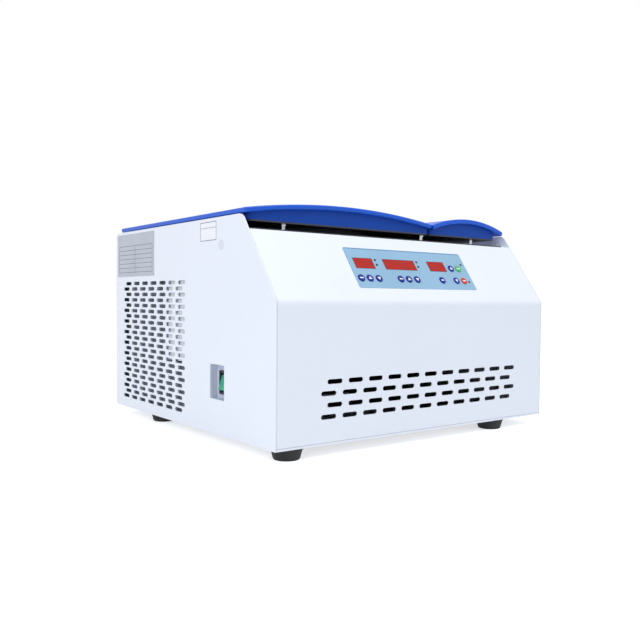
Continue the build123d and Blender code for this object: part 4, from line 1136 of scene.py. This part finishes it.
class CENTRIFUGE_OT_condenser(bpy.types.Operator):
    """Builds the condenser as thin fins on its tubes, with end plates and a black slab between the
    fins as painted shade.
    """

    bl_idname = "centrifuge.condenser"
    bl_label = "Condenser"

    def execute(self, context):
        sizes = context.scene.centrifuge_fasteners
        low, high = box_mm("condenser_core")
        shroud_low, shroud_high = box_mm("fan_shroud")
        left, right = shroud_low.x, shroud_high.x
        base, top = shroud_low.z, shroud_high.z
        tall, deep = top - base, high.y - low.y
        mid_y, mid_z = (low.y + high.y) / 2, base + tall / 2
        side, plate = 2.0, 1.5
        pitch = sizes.fin_pitch / MM
        fin_count = int((right - left - 2 * side) / pitch)
        places = [
            Vector((left + side + (i + 0.5) * pitch, mid_y, mid_z)) * MM for i in range(fin_count)
        ]
        carrier = bpy.data.meshes.new("fin_line")
        carrier.from_pydata(places, [], [])
        tree, entry, output = start_tree("condenser_fins")
        thick = group_socket(tree, "Thickness", "NodeSocketFloat", 0.4 * MM)
        size = add_node(
            tree,
            "ShaderNodeCombineXYZ",
            {"Y": (deep - 1.0) * MM, "Z": (tall - 1.0) * MM},
            {"X": entry.outputs["Thickness"]},
        )
        fin = add_node(tree, "GeometryNodeMeshCube", links={"Size": size.outputs["Vector"]})
        points = add_node(
            tree,
            "GeometryNodeInstanceOnPoints",
            links={"Points": entry.outputs["Geometry"], "Instance": fin.outputs["Mesh"]},
        )
        aluminium = fin_aluminium()
        end_tree(tree, output, points.outputs["Instances"], aluminium)
        inputs = {thick: 0.5 * MM}
        fins = bake_tree("condenser_fins", carrier, tree, inputs, "cabinet")
        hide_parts("condenser_core")

        def block(x0, x1, y0, y1, z0, z1, material):
            corners = ((y0, z0), (y1, z0), (y1, z1), (y0, z1))
            outline = [Vector((x0, y, z)) for y, z in corners]
            add_prism(bm, outline, Vector((x1 - x0, 0, 0)), material)

        bm = bmesh.new()
        block(left, left + plate, low.y, high.y, PAN_TOP, top, 0)
        block(right - plate, right, low.y, high.y, PAN_TOP, top, 0)
        rows, tube_r = 6, 3.5
        for i in range(rows):
            for share in (-0.25, 0.25):
                y, z = mid_y + share * deep, mid_z + (i - (rows - 1) / 2) * tall / rows
                ring = [Vector((low.x, *p)) for p in circle(y, z, tube_r)]
                add_prism(bm, ring, Vector((right - low.x, 0, 0)), 1)
        # A black slab inside the fin pack: painted shade where the close fins look dark
        shade_slab_y, shade_slab_z = 14, PAN_TOP + 1.5
        block(left + side, right - side, low.y + shade_slab_y, high.y - shade_slab_y, shade_slab_z, top - 1.0, 2)
        mesh = mesh_from(bm, "condenser_frame")
        finish = aluminium, drawn_copper(), moulded_black()
        frame_piece = link_piece("condenser_frame", mesh, "cabinet", "fin_aluminium", *finish)
        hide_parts("condenser_core")
        return {"FINISHED"}


def seen_directly(tree):
    """1 for rays from the camera, off a gloss or through glass, and 0 for the rest."""
    rays = add_node(tree, "ShaderNodeLightPath").outputs
    seen = rays["Is Camera Ray"]
    for kind in ("Is Glossy Ray", "Is Transmission Ray"):
        links = {0: seen, 1: rays[kind]}
        seen = add_node(tree, "ShaderNodeMath", links=links, operation="MAXIMUM").outputs["Value"]
    return seen


class CENTRIFUGE_OT_stage(bpy.types.Operator):
    """Sets the floor, the lights, the world and the camera."""

    bl_idname = "centrifuge.stage"
    bl_label = "Stage"

    def execute(self, context):
        settings = context.scene.centrifuge_stage
        bpy.ops.mesh.primitive_plane_add(size=60, location=(0, 0, 0))
        floor = context.object
        floor.name = "floor"
        material, tree, output, _ = new_material("white_floor")
        matt = add_node(tree, "ShaderNodeBsdfDiffuse", {"Color": (0.82, 0.83, 0.85, 1)})
        glow = add_node(tree, "ShaderNodeEmission", {"Color": (1, 1, 1, 1), "Strength": 0.62})
        both = add_node(
            tree,
            "ShaderNodeAddShader",
            links={0: matt.outputs["BSDF"], 1: glow.outputs["Emission"]},
        )
        mixed = add_node(
            tree,
            "ShaderNodeMixShader",
            links={0: seen_directly(tree), 1: matt.outputs["BSDF"], 2: both.outputs["Shader"]},
        )
        tree.links.new(mixed.outputs["Shader"], output.inputs["Surface"])
        floor.data.materials.append(material)

        world = bpy.data.worlds.new("studio")
        world.use_nodes = True
        context.scene.world = world
        sky = world.node_tree
        sky.nodes.clear()
        soft = add_node(
            sky, "ShaderNodeBackground", {"Color": (0.93, 0.96, 1, 1), "Strength": settings.sky}
        )
        white = add_node(
            sky, "ShaderNodeBackground", {"Color": (1, 1, 1, 1), "Strength": 1.0}
        )
        blend = add_node(
            sky,
            "ShaderNodeMixShader",
            links={
                0: seen_directly(sky),
                1: soft.outputs["Background"],
                2: white.outputs["Background"],
            },
        )
        ending = add_node(sky, "ShaderNodeOutputWorld")
        sky.links.new(blend.outputs["Shader"], ending.inputs["Surface"])

        target = Vector((0, 0, 0.2))
        for name, power, size, place in (
            ("key_light", settings.key_power, 2.2, (0.3, -1.35, 3.1)),
            ("fill_light", settings.fill_power, 2.0, (-2.6, -0.6, 1.4)),
        ):
            lamp = bpy.data.lights.new(name, "AREA")
            lamp.energy = power
            lamp.size = size
            lamp_object = bpy.data.objects.new(name, lamp)
            context.scene.collection.objects.link(lamp_object)
            lamp_object.location = place
            way = target - Vector(place)
            lamp_object.rotation_euler = way.to_track_quat("-Z", "Y").to_euler()

        camera = bpy.data.cameras.new("camera")
        camera.lens = settings.lens
        camera.sensor_width = 36.0
        camera_object = bpy.data.objects.new("camera", camera)
        context.scene.collection.objects.link(camera_object)
        stand = Vector((-892.46, -1161.38, 240.82)) * MM
        yaw, pitch, roll = (math.radians(a) for a in (37.385, 1.735, 0.490))
        turn = (
            Matrix.Rotation(-yaw, 4, "Z")
            @ Matrix.Rotation(math.pi / 2 - pitch, 4, "X")
            @ Matrix.Rotation(roll, 4, "Z")
        )
        camera_object.matrix_world = Matrix.Translation(stand) @ turn
        context.scene.camera = camera_object
        context.scene.view_settings.view_transform = "Standard"
        return {"FINISHED"}


OPERATORS = (
    CENTRIFUGE_OT_stage,
    CENTRIFUGE_OT_cabinet,
    CENTRIFUGE_OT_covers,
    CENTRIFUGE_OT_filter,
    CENTRIFUGE_OT_posts,
    CENTRIFUGE_OT_feet,
    CENTRIFUGE_OT_displays,
    CENTRIFUGE_OT_film,
    CENTRIFUGE_OT_keys,
    CENTRIFUGE_OT_labels,
    CENTRIFUGE_OT_rocker,
    CENTRIFUGE_OT_screws,
    CENTRIFUGE_OT_condenser,
)


class CENTRIFUGE_PT_panel(bpy.types.Panel):
    """Lists the centrifuge's settings and its building steps."""

    bl_idname = "CENTRIFUGE_PT_panel"
    bl_label = "Centrifuge"
    bl_space_type = "VIEW_3D"
    bl_region_type = "UI"
    bl_category = "Centrifuge"

    def draw(self, context):
        for group in GROUPS:
            settings = getattr(context.scene, group)
            for name in settings.bl_rna.properties.keys():
                if name not in {"rna_type", "name"}:
                    self.layout.prop(settings, name)
        for operator in OPERATORS:
            self.layout.operator(operator.bl_idname)


GROUPS = {
    "centrifuge_colours": FinishColours,
    "centrifuge_covers": CoverSizes,
    "centrifuge_marks": MarkSizes,
    "centrifuge_fasteners": FastenerSizes,
    "centrifuge_stage": StageSettings,
}
CLASSES = (*GROUPS.values(), *OPERATORS, CENTRIFUGE_PT_panel)


def register():
    for cls in CLASSES:
        bpy.utils.register_class(cls)
    for name, group in GROUPS.items():
        setattr(bpy.types.Scene, name, bpy.props.PointerProperty(type=group))


def unregister():
    for name in GROUPS:
        delattr(bpy.types.Scene, name)
    for cls in reversed(CLASSES):
        bpy.utils.unregister_class(cls)


def main():
    register()
    for operator in OPERATORS:
        category, step = operator.bl_idname.split(".")
        getattr(getattr(bpy.ops, category), step)()


if __name__ == "__main__":
    main()
